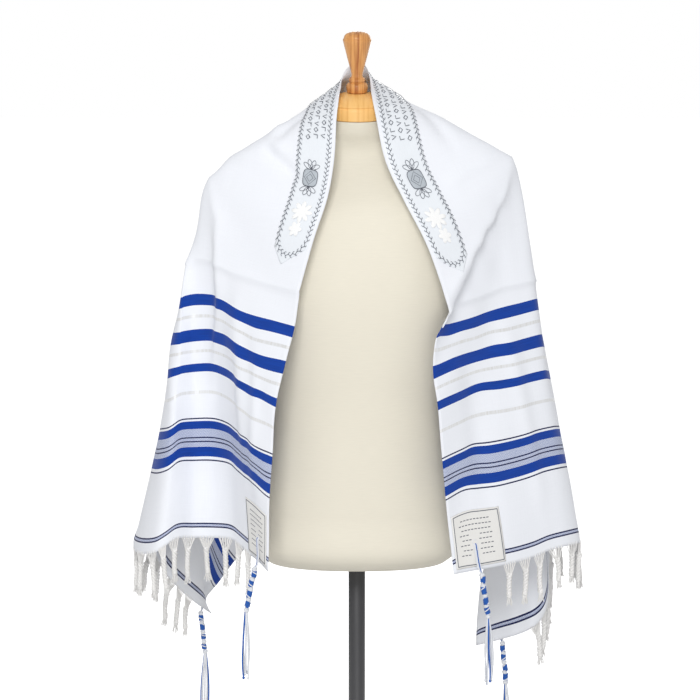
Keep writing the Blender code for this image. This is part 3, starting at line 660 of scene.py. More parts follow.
# ---------------------------------------------------------------- making materials
class Finish:
    """A node material, put together node by node."""

    def __init__(self, name, colour, roughness, **fixed):
        self.material = bpy.data.materials.new(name)
        self.material.use_nodes = True
        self.tree = self.material.node_tree
        self.shader = self.tree.nodes["Principled BSDF"]
        self.shader.inputs["Base Color"].default_value = (*colour, 1.0)
        self.shader.inputs["Roughness"].default_value = roughness
        for socket, value in fixed.items():
            self.shader.inputs[socket.replace("_", " ")].default_value = value

    def link(self, value, socket):
        """Set a socket from a number, a colour or another socket."""
        if isinstance(value, bpy.types.NodeSocket):
            self.tree.links.new(value, socket)
        elif hasattr(value, "__len__") and len(value) == 3 and socket.type == "RGBA":
            socket.default_value = (*value, 1.0)
        else:
            socket.default_value = value

    def node(self, kind, inputs=(), **settings):
        """Add a node with its settings and inputs; inputs are (name or number, value)."""
        made = self.tree.nodes.new(kind)
        for name, value in settings.items():
            setattr(made, name, value)
        for key, value in inputs:
            self.link(value, made.inputs[key])
        return made

    def math(self, operation, *values):
        """A Math node's result."""
        made = self.node("ShaderNodeMath", list(enumerate(values)), operation=operation)
        return made.outputs[0]

    def mix(self, share, first, second):
        """Mixed colour."""
        made = self.node("ShaderNodeMix", data_type="RGBA")
        self.link(share, made.inputs[0])
        self.link(first, made.inputs[6])
        self.link(second, made.inputs[7])
        return made.outputs[2]

    def noise(self, vector, scale, detail=2.0, roughness=0.5):
        """Noise value at that place."""
        made = self.node("ShaderNodeTexNoise", [("Vector", vector), ("Scale", scale),
                                                ("Detail", detail), ("Roughness", roughness)])
        return made.outputs[0]

    def spread(self, value, low, high, to_low=0.0, to_high=1.0):
        """A value taken from one range to another, kept inside it."""
        made = self.node("ShaderNodeMapRange", [(0, value), (1, low), (2, high),
                                                (3, to_low), (4, to_high)])
        return made.outputs[0]

    def uv(self, layer):
        """First and second number of a UV map."""
        source = self.node("ShaderNodeUVMap", uv_map=layer).outputs[0]
        parts = self.node("ShaderNodeSeparateXYZ", [(0, source)])
        return parts.outputs[0], parts.outputs[1]

    def scaled(self, u, w, scale_u, scale_w):
        """A place on the cloth as a vector, each of its numbers times its own scale."""
        made = self.node("ShaderNodeCombineXYZ", [(0, self.math("MULTIPLY", u, scale_u)),
                                                  (1, self.math("MULTIPLY", w, scale_w))])
        return made.outputs[0]

    def wave(self, value, length):
        """Sine of a value, one turn to each length."""
        return self.math("SINE", self.math("MULTIPLY", value, 2 * math.pi / length))

    def place(self):
        """The point on the object, and its parts."""
        source = self.node("ShaderNodeTexCoord").outputs["Object"]
        parts = self.node("ShaderNodeSeparateXYZ", [(0, source)])
        return source, parts.outputs[0], parts.outputs[1], parts.outputs[2]

    def stretch(self, vector, scale):
        """A place stretched by the scale along each axis."""
        made = self.node("ShaderNodeMapping", [("Vector", vector), ("Scale", scale)])
        return made.outputs[0]

    def paint(self, share, first, second):
        """Colour the surface from first to second by the share."""
        self.link(self.mix(share, first, second), self.shader.inputs["Base Color"])

    def roughen(self, value, low, high, smoothest, roughest):
        """Take the roughness from a value."""
        self.link(self.spread(value, low, high, smoothest, roughest),
                  self.shader.inputs["Roughness"])

    def bump(self, height, strength, distance):
        """Raise the surface by a height value."""
        made = self.node("ShaderNodeBump", [("Height", height), ("Strength", strength),
                                            ("Distance", distance)])
        self.tree.links.new(made.outputs[0], self.shader.inputs["Normal"])


def tint(colour, share=1.0):
    """A colour made lighter or darker."""
    return tuple(part * share for part in colour)


# Bands woven along each half: from, to (distance from the middle), kind
WOVEN_BANDS = (
    (0.4786, 0.4970, "blue"),
    (0.5122, 0.5176, "silver"),
    (0.5370, 0.5580, "blue"),
    (0.5727, 0.5781, "silver"),
    (0.5980, 0.6130, "blue"),
    (0.6472, 0.6528, "silver"),
    (0.6952, 0.6976, "thread"),
    (0.7010, 0.7145, "blue"),
    (0.7145, 0.7455, "hatch"),
    (0.7284, 0.7306, "thread"),
    (0.7352, 0.7374, "thread"),
    (0.7455, 0.7620, "blue"),
    (0.7670, 0.7694, "thread"),
    (0.8769, 0.8802, "hatch"),
    (0.8744, 0.8769, "thread"),
    (0.8802, 0.8827, "thread"),
)
BAND_WAVER = 0.0006         # of a band's edge, from pick to pick
YARN_SCALE = 950.0          # of the noise across the yarns
YARN_RUN = 26.0             # and along them
ZIGZAG = 0.006              # from turn to turn of the hatched bands' zigzag
HATCH_PITCH = 0.0026
RIB_PITCH = 0.0022
COVER_PITCH = 0.0016        # of the weave of the form's cover


def cloth_finish(name, colours):
    """White weave with woven blue, silver and hatched bands."""
    cloth = Finish(name, colours.cloth_white, 0.78, Sheen_Weight=0.12, Sheen_Roughness=0.5,
                   Specular_IOR_Level=0.25)
    u, w = cloth.uv("cut")
    ragged = cloth.noise(cloth.scaled(u, w, 900.0, 60.0), 1.0)
    waver = cloth.math("MULTIPLY", cloth.math("SUBTRACT", ragged, 0.5), BAND_WAVER)
    along = cloth.math("ADD", cloth.math("ABSOLUTE", w), waver)
    # yarns across and along, with slubs
    warp = cloth.scaled(u, w, YARN_SCALE, YARN_RUN)
    weft_yarn = cloth.noise(cloth.scaled(u, w, YARN_RUN, YARN_SCALE), 1.0, 1.0)
    warp_yarn = cloth.noise(warp, 1.0, 1.0)
    yarns = cloth.math("ADD", weft_yarn, warp_yarn)
    white = cloth.node("ShaderNodeVectorMath", [(0, tuple(colours.cloth_white))],
                       operation="SCALE")
    cloth.link(cloth.spread(yarns, 0.6, 1.4, 0.965, 1.0), white.inputs["Scale"])
    colour = white.outputs[0]
    # zigzag of blue and white picks
    slant = cloth.math("ADD", cloth.math("PINGPONG", u, ZIGZAG), w)
    hatch = cloth.spread(cloth.wave(slant, HATCH_PITCH), -0.5, 0.5)
    glints = cloth.spread(cloth.noise(warp, 0.35, 3.0), 0.3, 0.7, 0.0, 0.65)
    shades = {
        "blue": cloth.mix(cloth.spread(weft_yarn, 0.3, 0.7), tint(colours.stripe_blue),
                          tint(colours.stripe_blue, 1.35)),
        "silver": cloth.mix(glints, tint(colours.silver), tint(colours.cloth_white)),
        "hatch": cloth.mix(hatch, tint(colours.hatch_light), tint(colours.hatch_dark)),
        "thread": tint(colours.thread_dark),
    }
    metal = 0.0
    for start, end, kind in WOVEN_BANDS:
        inside = cloth.math("COMPARE", along, (start + end) / 2, (end - start) / 2)
        colour = cloth.mix(inside, colour, shades[kind])
        if kind == "silver":
            metal = cloth.math("MAXIMUM", metal, inside)
    cloth.link(colour, cloth.shader.inputs["Base Color"])
    cloth.link(cloth.math("MULTIPLY", metal, 0.20), cloth.shader.inputs["Metallic"])
    cloth.roughen(metal, 0.0, 1.0, 0.78, 0.38)
    ribs = cloth.math("MULTIPLY", cloth.wave(w, RIB_PITCH), 0.25)
    cloth.bump(cloth.math("ADD", yarns, ribs), 0.35, 0.00025)
    return cloth.material


def satin_finish(name, colour):
    """Smooth satin with fine floats."""
    satin = Finish(name, colour, 0.42, Sheen_Weight=0.15, Specular_IOR_Level=0.45)
    u, w = satin.uv("cut")
    grain = satin.noise(satin.scaled(u, w, 1600.0, 90.0), 1.0, 2.0)
    satin.paint(satin.spread(grain, 0.3, 0.7), tint(colour, 0.95), tint(colour))
    satin.roughen(grain, 0.2, 0.8, 0.36, 0.5)
    satin.bump(grain, 0.25, 0.0002)
    return satin.material


def thread_finish(name, colour, roughness=0.7):
    """Spun thread or yarn."""
    yarn = Finish(name, colour, roughness, Sheen_Weight=0.25, Specular_IOR_Level=0.3)
    source, *_ = yarn.place()
    fuzz = yarn.noise(source, 1400.0, 3.0)
    yarn.paint(yarn.spread(fuzz, 0.3, 0.7), tint(colour, 0.86), tint(colour))
    yarn.roughen(fuzz, 0.2, 0.8, roughness - 0.08, roughness + 0.1)
    yarn.bump(fuzz, 0.5, 0.0004)
    return yarn.material


def cover_finish(name, colour):
    """Plain cotton cover in a small weave."""
    cover = Finish(name, colour, 0.88, Sheen_Weight=0.1, Specular_IOR_Level=0.25)
    source, x, _, z = cover.place()
    slub = cover.noise(cover.stretch(source, (60.0, 60.0, 900.0)), 1.0, 2.0)
    cloudy = cover.noise(source, 18.0, 2.0)
    tone = cover.math("ADD", cover.math("MULTIPLY", slub, 0.7), cover.math("MULTIPLY", cloudy, 0.3))
    cover.paint(cover.spread(tone, 0.3, 0.7), tint(colour, 0.96), tint(colour))
    cover.roughen(slub, 0.3, 0.7, 0.82, 0.92)
    checks = cover.math("MULTIPLY", cover.wave(z, COVER_PITCH), cover.wave(x, COVER_PITCH))
    cover.bump(cover.math("ADD", checks, cover.math("MULTIPLY", slub, 2.0)), 0.18, 0.00025)
    return cover.material


def wood_finish(name, light, dark):
    """Varnished turned wood, its growth rings nearly flat across and its grain lengthwise."""
    wood = Finish(name, light, 0.42, Coat_Weight=0.12, Coat_Roughness=0.25,
                  Specular_IOR_Level=0.35)
    source, *_ = wood.place()
    broad = wood.noise(wood.stretch(source, (190.0, 22.0, 3.0)), 1.0, 2.0)
    fine = wood.noise(wood.stretch(source, (420.0, 60.0, 9.0)), 1.0, 1.0)
    tone = wood.math("ADD", wood.math("MULTIPLY", broad, 0.7), wood.math("MULTIPLY", fine, 0.3))
    wood.paint(wood.spread(tone, 0.42, 0.66), tint(light), tint(dark))
    wood.roughen(fine, 0.3, 0.7, 0.38, 0.48)
    return wood.material


def metal_finish(name, colour):
    """Powder-coated steel."""
    metal = Finish(name, colour, 0.45, Specular_IOR_Level=0.5)
    source, *_ = metal.place()
    grain = metal.noise(source, 900.0, 3.0)
    metal.paint(metal.spread(grain, 0.3, 0.7), tint(colour), tint(colour, 1.25))
    metal.roughen(grain, 0.3, 0.7, 0.38, 0.52)
    metal.bump(grain, 0.2, 0.0002)
    return metal.material


def finish_named(name, make, *colours):
    """The material of that name, made the first time it is asked for."""
    return bpy.data.materials.get(name) or make(name, *colours)

# ---------------------------------------------------------------- sizes of the pieces
CLOTH_CELLS = (136, 324)    # across and along
CLOTH_THICKNESS = 0.0012
BAND_CELLS = (18, 330)
BAND_TURN_IN = 0.010        # of the satin at its pointed ends
BAND_SIDE_END = BAND_ROWS * (HALF_LENGTH - SQUARE_END) / LENGTH_CELLS - BAND_TURN_IN
BAND_TIP = (BAND_ROWS + 1) * (HALF_LENGTH - SQUARE_END) / LENGTH_CELLS - BAND_TURN_IN
BAND_LIFT = 0.0010          # inside of the satin over the middle of the cloth
BAND_THICKNESS = 0.0008
SQUARE_CELLS = 28
THREAD_LIFT = BAND_LIFT + BAND_THICKNESS

# the fringe
FRINGE_SEEDS = {"right": 41, "left": 67}
FRINGE_COLUMNS = (4, 4 + MIDDLE_CELLS + 1)
TASSEL_ROOM = 0.021         # least distance between two tassels
STRIP_END = SEAM_GAP + 0.004
SWAY = 0.06
SWAY_TURN = 2.3
HANG_SHARE = 0.12           # of the cloth's own direction in that of what hangs from it
TASSEL_LENGTH = 0.074
GATHERED_YARNS = 11         # of the hem, in one tassel
GATHER_REACH = 0.0125       # to each side of it
GATHER_DROP = 0.017         # where they have come together
PLIES = 3
PLY_PITCH = 0.017           # of one whole turn
PLY_RADIUS = 0.0025
PLY_START = 0.012
KNOT_ABOVE_END = 0.017
BRUSH_YARNS = 12
BRUSH_LENGTH = 0.015
GOLDEN_TURN = 2.399         # radians, which spreads the brush's yarns evenly

# the corner tassels
LOOP_GAP = 0.0008
CORNER_STAND_OFF = 0.0045
CORNER_SEEDS = {"front_right": 5, "front_left": 25, "back_right": 9, "back_left": 29}
CORNER_LEANS = {"front_right": 0.16, "front_left": -0.22, "back_right": 0.05, "back_left": 0.14}
CORNER_STRANDS = 4          # over the hem
BLUE_STRAND = 2
STRAND_PITCH = 0.00185
STRAND_RADIUS = 0.00095
EYELET_RADIUS = 0.0042
WOUND_RADIUS = 0.0035
WOUND_END = 0.0790
WINDING_PITCH = 0.0021
# drop of each knot, and of each blue winding
KNOT_DROPS = (0.008, 0.0245, 0.0415, 0.0585, 0.0765)
WINDING_DROPS = ((0.0115, 0.0210), (0.0280, 0.0380), (0.0450, 0.0550), (0.0620, 0.0720))
LOOSE_STRINGS = 8
BLUE_STRINGS = (2, 6)
STRING_RADIUS = 0.00125
LOOSE_LENGTH = 0.115
# end knot of a loose string: height above its tip, radius
STRING_TIP = ((0.0042, 0.0013), (0.0030, 0.0021), (0.0014, 0.0021), (0.0002, 0.0010))

# the covered form: height, middle by its y, half width, half depth, lean in degrees
TORSO_RINGS = (
    (0.790, 0.012, 0.150, 0.098, 0.0),
    (0.800, 0.012, 0.163, 0.110, 0.0),
    (0.880, 0.012, 0.168, 0.115, 0.0),
    (0.960, 0.010, 0.158, 0.110, 0.0),
    (1.050, 0.004, 0.148, 0.104, 0.0),
    (1.150, -0.004, 0.159, 0.106, 0.0),
    (1.250, -0.007, 0.177, 0.110, 0.0),
    (1.333, -0.006, 0.191, 0.101, 0.0),
    (1.388, -0.003, 0.204, 0.0833, 0.0),
    (1.415, 0.003, 0.212, 0.069, 0.0),
    (1.437, 0.009, 0.213, 0.059, 0.0),
    (1.457, 0.012, 0.196, 0.051, 0.0),
    (1.477, 0.013, 0.148, 0.049, 2.0),
    (1.490, 0.012, 0.088, 0.052, 4.0),
    (1.508, 0.006, 0.064, 0.055, 7.0),
    (1.529, 0.000, 0.0555, 0.0555, 10.0),
)
TORSO_SIDES = 96
TORSO_ROWS = 150
TORSO_SQUARENESS = 2.3      # 2 is an ellipse
TORSO_ANGLE = 50.0          # sharper edges stay sharp
SHOULDER_SLANT = 0.080
SLANT_FROM = 1.25
SLANT_TO = 1.42
SLANT_END = 1.47
ROUND_SPAN = (-0.02, 0.015)     # about SLANT_TO, where the squareness ends
NECK_TOP = (0.0, 0.0, 1.529)
NECK_LEAN = math.radians(10.0)
WOOD_ANGLE = 35.0
# turned pieces: radius, height
CAP_PROFILE = (
    (0.0003, 0.0003),
    (0.0540, 0.0003),
    (0.0560, 0.0016),
    (0.0562, 0.0100),
    (0.0554, 0.0182),
    (0.0548, 0.0196),
    (0.0535, 0.0206),
    (0.0531, 0.0214),
    (0.0534, 0.0222),
    (0.0542, 0.0231),
    (0.0541, 0.0241),
    (0.0518, 0.0259),
    (0.0475, 0.0285),
    (0.0420, 0.0322),
    (0.0350, 0.0348),
    (0.0270, 0.0372),
    (0.0200, 0.0390),
    (0.0003, 0.0390),
)
KNOB_PROFILE = (
    (0.0003, 0.0393),
    (0.0140, 0.0393),
    (0.0160, 0.0405),
    (0.0172, 0.0440),
    (0.0177, 0.0480),
    (0.0174, 0.0515),
    (0.0162, 0.0540),
    (0.0138, 0.0555),
    (0.0121, 0.0562),
    (0.0122, 0.0570),
    (0.0132, 0.0582),
    (0.0135, 0.0600),
    (0.0132, 0.0622),
    (0.0118, 0.0636),
    (0.0096, 0.0650),
    (0.0092, 0.0672),
    (0.0096, 0.0710),
    (0.0108, 0.0760),
    (0.0132, 0.0855),
    (0.0157, 0.0950),
    (0.0182, 0.1048),
    (0.0206, 0.1140),
    (0.0222, 0.1205),
    (0.0229, 0.1232),
    (0.0231, 0.1250),
    (0.0228, 0.1264),
    (0.0219, 0.1270),
    (0.0215, 0.1277),
    (0.0216, 0.1288),
    (0.0210, 0.1308),
    (0.0196, 0.1330),
    (0.0170, 0.1350),
    (0.0130, 0.1366),
    (0.0080, 0.1376),
    (0.0003, 0.1380),
)
POLE_PROFILE = (
    (0.0003, 0.0183),
    (0.0136, 0.0183),
    (0.0140, 0.0188),
    (0.0140, 0.7892),
    (0.0136, 0.7897),
    (0.0003, 0.7897),
)
BASE_PROFILE = (
    (0.0003, 0.0000),
    (0.1880, 0.0000),
    (0.1920, 0.0006),
    (0.1944, 0.0028),
    (0.1950, 0.0055),
    (0.1948, 0.0090),
    (0.1934, 0.0118),
    (0.1900, 0.0140),
    (0.1850, 0.0151),
    (0.1200, 0.0165),
    (0.0310, 0.0179),
    (0.0280, 0.0180),
    (0.0003, 0.0180),
)


# ---------------------------------------------------------------- settings
def colour_property(name, description, default):
    """A colour that a user may change."""
    return bpy.props.FloatVectorProperty(name=name, description=description, subtype="COLOR",
                                         size=3, min=0.0, max=1.0, default=default)


def length_property(name, description, default):
    """A length in metres that a user may change."""
    return bpy.props.FloatProperty(name=name, description=description, subtype="DISTANCE",
                                   unit="LENGTH", default=default, min=0.0)


class ShawlSettings(bpy.types.PropertyGroup):
    """Colours and thicknesses of the shawl."""
    thickness: length_property("Cloth thickness", "Thickness of the weave", CLOTH_THICKNESS)
    satin_thickness: length_property("Satin thickness", "Of the neckband and corner squares",
                                     BAND_THICKNESS)
    cloth_white: colour_property("Cloth", "White of the weave", (0.86, 0.88, 0.93))
    stripe_blue: colour_property("Blue", "Blue woven bands", (0.0, 0.036, 0.265))
    silver: colour_property("Silver", "Metallic yarn bands", (0.70, 0.70, 0.69))
    hatch_light: colour_property("Hatch light", "White picks of the hatched band",
                                 (0.70, 0.73, 0.82))
    hatch_dark: colour_property("Hatch dark", "Blue picks of the hatched band",
                                (0.20, 0.26, 0.48))
    thread_dark: colour_property("Thin lines", "Thin dark woven lines", (0.014, 0.018, 0.075))
    satin: colour_property("Satin", "Neckband", (0.83, 0.865, 0.91))
    ornament_white: colour_property("White ornaments", "White motifs of the neckband",
                                    (0.99, 0.99, 0.985))
    satin_square: colour_property("Square satin", "Corner squares", (0.81, 0.80, 0.775))
    embroidery: colour_property("Embroidery", "Dark stitched border", (0.11, 0.12, 0.15))
    ornament_grey: colour_property("Ornament", "Grey stitched ornament", (0.50, 0.545, 0.59))


class TasselSettings(bpy.types.PropertyGroup):
    """Yarns of the fringe and the corner tassels."""
    yarn_radius: length_property("Yarn radius", "Of a fringe yarn", 0.0011)
    yarn_white: colour_property("Fringe", "Fringe yarn", (0.91, 0.90, 0.885))
    cord_blue: colour_property("Blue cord", "Blue cord of the corner tassels",
                               (0.012, 0.110, 0.46))
    cord_white: colour_property("White cord", "White cord of the corner tassels",
                                (0.82, 0.84, 0.88))


class FormSettings(bpy.types.PropertyGroup):
    """Dress form and stand."""
    cover: colour_property("Cover", "Cotton cover of the form", (0.80, 0.755, 0.64))
    wood_light: colour_property("Wood", "Light of the knob's wood", (0.74, 0.36, 0.115))
    wood_dark: colour_property("Grain", "Dark of the knob's grain", (0.36, 0.115, 0.026))
    cap_light: colour_property("Cap wood", "Light of the cap's wood", (0.90, 0.54, 0.19))
    cap_dark: colour_property("Cap grain", "Dark of the cap's grain", (0.80, 0.43, 0.125))
    metal: colour_property("Stand", "Coated steel of the stand", (0.035, 0.035, 0.038))


class StageSettings(bpy.types.PropertyGroup):
    """Floor, light and camera."""
    floor: colour_property("Floor", "Pale floor", (0.93, 0.93, 0.93))
    key_power: bpy.props.FloatProperty(name="Key light", description="Power of the main light",
                                       subtype="POWER", unit="POWER", default=80.0, min=0.0)
    fill: bpy.props.FloatProperty(name="Fill", description="Strength of the light all round",
                                  default=0.57, min=0.0)


# ---------------------------------------------------------------- pieces on the cloth
STITCH_TOP = 0.6            # width of a stitch's top, of its foot
STITCH_ANGLE = 40.0
BORDER_INSET = 0.0032       # of the stitched border from the band's long edges
BORDER_END = 0.0130         # and from its point
BORDER_BEND = 0.026         # length over which the border turns round the point
BORDER_PITCH = 0.0080
BORDER_SWING = 0.0017
BARB_LENGTH = 0.0034
STITCH_HALF_WIDTH = 0.00050
STITCH_HEIGHT = 0.00035
STITCH_LIFT = THREAD_LIFT + 0.0004


def ribbon(path, half_width, height, lift):
    """Corners and faces of a flat stitch along places (u, w) on the cloth, lifted off it."""
    path = np.asarray(path, dtype=float)
    points, normals = CLOTH.read(path[:, 0], path[:, 1])
    along = np.gradient(points, axis=0)
    side = np.cross(normals, along)
    side /= np.maximum(np.linalg.norm(side, axis=1), 1e-12)[:, None]
    rings = []
    for aside, up in ((-1, 0), (1, 0), (STITCH_TOP, 1), (-STITCH_TOP, 1)):
        rings.append(points + side * half_width * aside + normals * (lift + height * up))
    vertices = np.stack(rings, axis=1).reshape(-1, 3)
    faces = []
    for step in range(len(path) - 1):
        for corner in range(4):
            after = (corner + 1) % 4
            faces.append((step * 4 + corner, step * 4 + after,
                          step * 4 + 4 + after, step * 4 + 4 + corner))
    last = (len(path) - 1) * 4
    faces.append((3, 2, 1, 0))
    faces.append((last, last + 1, last + 2, last + 3))
    return vertices, faces


def stitched(name, parts):
    """One mesh of several stitches."""
    vertices = []
    faces = []
    first = 0
    for part_vertices, part_faces in parts:
        vertices.append(part_vertices)
        faces += [tuple(first + i for i in face) for face in part_faces]
        first += len(part_vertices)
    mesh = bpy.data.meshes.new(name)
    mesh.from_pydata(np.vstack(vertices).tolist(), [], faces)
    item = bpy.data.objects.new(name, mesh)
    bpy.context.scene.collection.objects.link(item)
    edit_all(item, turn_outwards)
    smooth(item, STITCH_ANGLE)
    return item


def band_end(u):
    """How far along each half the neckband reaches at u."""
    side = np.where(u < BAND_MIDDLE, BAND_MIDDLE - EDGE_MARGIN, BAND_END - BAND_MIDDLE)
    return BAND_SIDE_END + (BAND_TIP - BAND_SIDE_END) * (1 - np.abs(u - BAND_MIDDLE) / side)


def make_neckband(settings, satin):
    """Satin neckband with its pointed ends, a closed wall."""
    item, x, y = new_sheet("satin_neckband", *BAND_CELLS)
    u = EDGE_MARGIN + (BAND_END - EDGE_MARGIN) * x
    w = (2 * y - 1) * band_end(u)
    points, normals = CLOTH.read(u, w)
    edge = np.minimum(np.minimum(x, 1 - x) * (BAND_END - EDGE_MARGIN), (band_end(u) - np.abs(w)))
    pucker = np.sin(w * 300 + u * 60) * (x * (1 - x) * 4)
    puff = 0.0005 * (1 - np.exp(-edge / 0.003)) + 0.00025 * pucker
    place_points(item, points + normals * (BAND_LIFT + puff)[:, None])
    write_uv(item, "cut", u, w)
    smooth(item)
    give_wall(item, settings.satin_thickness, 1.0)
    return finish_piece(item, satin, "neckband", "neckband")


def border_path():
    """The border's middle line as a U along one half: rows of (u, v), evenly spaced."""
    inner = EDGE_MARGIN + BORDER_INSET
    outer = BAND_END - BORDER_INSET
    middle = (inner + outer) / 2
    bottom = BAND_TIP - BORDER_END
    line = [(inner, 0.0), (inner, bottom - BORDER_BEND)]
    for degrees in range(10, 180, 10):
        turn = math.radians(degrees)
        line.append((middle - (middle - inner) * math.cos(turn),
                     bottom - BORDER_BEND * (1 - math.sin(turn))))
    line += [(outer, bottom - BORDER_BEND), (outer, 0.0)]
    line = np.array(line)
    run = np.concatenate([[0.0], np.cumsum(np.linalg.norm(np.diff(line, axis=0), axis=1))])
    steps = round(run[-1] / (BORDER_PITCH / 2))
    at = np.linspace(0, run[-1], steps + 1)
    return np.stack([np.interp(at, run, line[:, 0]), np.interp(at, run, line[:, 1])], axis=1)


def make_border(threads):
    """Zigzag border with a curled barb at each turn."""
    parts = []
    for half in HALVES.values():
        path = border_path() * np.array([1.0, half["outward"]])
        run = np.gradient(path, axis=0)
        run /= np.linalg.norm(run, axis=1)[:, None]
        side = np.stack([-run[:, 1], run[:, 0]], axis=1)
        turn = np.where(np.arange(len(path)) % 2 == 0, 1.0, -1.0)
        zigzag = path + side * (turn * BORDER_SWING)[:, None]
        parts.append(ribbon(zigzag, STITCH_HALF_WIDTH, STITCH_HEIGHT, STITCH_LIFT))
        for spot, aside, sign, way in zip(zigzag, side, turn, run):
            bend = spot + (aside * sign * 0.8 - way * 0.2) * BARB_LENGTH * 0.5
            tip = spot + (aside * sign * 0.75 - way * 0.95) * BARB_LENGTH * 0.85
            parts.append(ribbon([spot - aside * sign * 0.0012, bend, tip],
                                STITCH_HALF_WIDTH * 0.85, STITCH_HEIGHT, STITCH_LIFT))
    item = stitched("neckband_border", parts)
    return finish_piece(item, threads, "neckband")


def filled_shape(outline, centre, lift, height):
    """A low padded patch of satin stitch with that outline, in (u, w) about the centre."""
    outline = np.asarray(outline, dtype=float)
    rings = []
    for share, up in ((1.0, 0.0), (0.96, 0.7), (0.72, 1.0), (0.36, 1.0)):
        places = np.array(centre) + outline * share
        points, normals = CLOTH.read(places[:, 0], places[:, 1])
        rings.append(points + normals * (lift + height * up))
    point, normal = CLOTH.read([centre[0]], [centre[1]])
    count = len(outline)
    vertices = np.vstack(rings + [point + normal * (lift + height)])
    faces = []
    for ring in range(len(rings) - 1):
        for i in range(count):
            j = (i + 1) % count
            faces.append((ring * count + i, ring * count + j,
                          ring * count + count + j, ring * count + count + i))
    top = (len(rings) - 1) * count
    for i in range(count):
        faces.append((top + i, top + (i + 1) % count, len(rings) * count))
    faces.append(tuple(reversed(range(count))))
    return vertices, faces


def petals(radius, count, depth, steps):
    """Outline of a flower: places about its middle."""
    turn = np.linspace(0, 2 * math.pi, steps, endpoint=False)
    reach = radius * (1 - depth + depth * np.abs(np.cos(turn * count / 2)))
    return np.stack([reach * np.cos(turn), reach * np.sin(turn)], axis=1)


GREY_MOTIF = {"right": (0.036, 0.247), "left": (0.036, 0.254)}
WHITE_FLOWER = {"right": (0.034, 0.312), "left": (0.034, 0.314)}
# flowers: radius, petals, depth between them, points of the outline
LARGE_FLOWER = (0.0185, 8, 0.5, 64)
SMALL_FLOWER = (0.0115, 6, 0.4, 48)
SMALL_FLOWER_OFF = (0.002, 0.028)   # from the large one, across and along
SATIN_STITCH = {"grey": 0.0006, "white": 0.0008}     # height of the padded patches
MOTIF_HALF = (0.0130, 0.0150)       # of the grey oval, across and along
MOTIF_SQUARENESS = 0.55             # 1 is an ellipse
LEAF_LEANS = (-1.05, -0.35, 0.35, 1.05)
LEAF = (0.0036, 0.0080)             # half width and half length of a leaf at its ends
MARK_ROWS = (0.021, 0.034, 0.047)   # rows of small marks near the neck, by their u
MARK_FROM = 0.052
MARK_PITCH = 0.0115
MARK_STAGGER = 0.35         # of the pitch, from row to row
MARKS = 12
# Outlines of the small marks, across and along
MARK_SHAPES = (
    ((-0.0036, 0.0), (0.0, 0.0040), (0.0036, 0.0), (0.0, -0.0040), (-0.0036, 0.0)),
    ((-0.0036, -0.0034), (0.0034, 0.0), (-0.0036, 0.0034)),
    ((-0.0034, -0.0030), (-0.0034, 0.0030), (0.0034, 0.0030)),
)


def oval(half_u, half_v, steps=40):
    """Outline of a squarish oval: places about its middle."""
    turn = np.linspace(0, 2 * math.pi, steps, endpoint=False)
    across = np.sign(np.cos(turn)) * np.abs(np.cos(turn)) ** MOTIF_SQUARENESS
    along = np.sign(np.sin(turn)) * np.abs(np.sin(turn)) ** MOTIF_SQUARENESS
    return np.stack([half_u * across, half_v * along], axis=1)


def closed(outline, centre):
    """The outline about its centre, its first place repeated at the end."""
    return np.vstack([outline, outline[:1]]) + np.array(centre)


def motif_lines(centre):
    """Stitched lines of one grey motif: its outline, lozenges, and four leaves at each end."""
    half_u, half_v = MOTIF_HALF
    thin = STITCH_HALF_WIDTH * 0.8
    lines = [ribbon(closed(oval(half_u, half_v), centre), STITCH_HALF_WIDTH, STITCH_HEIGHT,
                    STITCH_LIFT)]
    for scale in (0.8, 0.45):
        lozenge = np.array([(-half_u, 0.0), (0.0, half_v), (half_u, 0.0), (0.0, -half_v)]) * scale
        lines.append(ribbon(closed(lozenge, centre), thin, STITCH_HEIGHT,
                            STITCH_LIFT + SATIN_STITCH["grey"]))
    turn = np.linspace(0, 2 * math.pi, 17)
    for end in (-1, 1):
        for lean in LEAF_LEANS:
            leaf = np.stack([LEAF[0] * np.sin(turn), LEAF[1] * (1 - np.cos(turn))], axis=1)
            tilt = np.array([[math.cos(lean), -math.sin(lean)], [math.sin(lean), math.cos(lean)]])
            leaf = leaf @ tilt * np.array([1.0, end]) + (0.0, (half_v + 0.0010) * end)
            lines.append(ribbon(leaf + centre, thin, STITCH_HEIGHT, STITCH_LIFT))
    return lines


def make_ornaments(grey, white, threads):
    """A grey motif, white flowers and rows of small marks stitched on each half of the band."""
    ovals = []
    flowers = []
    lines = []
    for side, half in HALVES.items():
        outward = half["outward"]
        centre = np.array([GREY_MOTIF[side][0], GREY_MOTIF[side][1] * outward])
        ovals.append(filled_shape(oval(*MOTIF_HALF) * 0.95, centre, STITCH_LIFT,
                                  SATIN_STITCH["grey"]))
        lines += motif_lines(centre)
        centre = np.array([WHITE_FLOWER[side][0], WHITE_FLOWER[side][1] * outward])
        flowers.append(filled_shape(petals(*LARGE_FLOWER), centre, STITCH_LIFT,
                                    SATIN_STITCH["white"]))
        centre = centre + np.array(SMALL_FLOWER_OFF) * (1, outward)
        flowers.append(filled_shape(petals(*SMALL_FLOWER), centre, STITCH_LIFT,
                                    SATIN_STITCH["white"]))
        for row, u in enumerate(MARK_ROWS):
            for spot in range(MARKS):
                shape = np.array(MARK_SHAPES[(spot * 2 + row) % len(MARK_SHAPES)])
                v = MARK_FROM + MARK_PITCH * (spot + MARK_STAGGER * row)
                lines.append(ribbon(shape + (u, v * outward), STITCH_HALF_WIDTH * 1.25,
                                    STITCH_HEIGHT, STITCH_LIFT))
    finish_piece(stitched("neckband_ovals", ovals), grey, "neckband")
    finish_piece(stitched("neckband_stars", flowers), white, "neckband")
    finish_piece(stitched("neckband_stitches", lines), threads, "neckband")


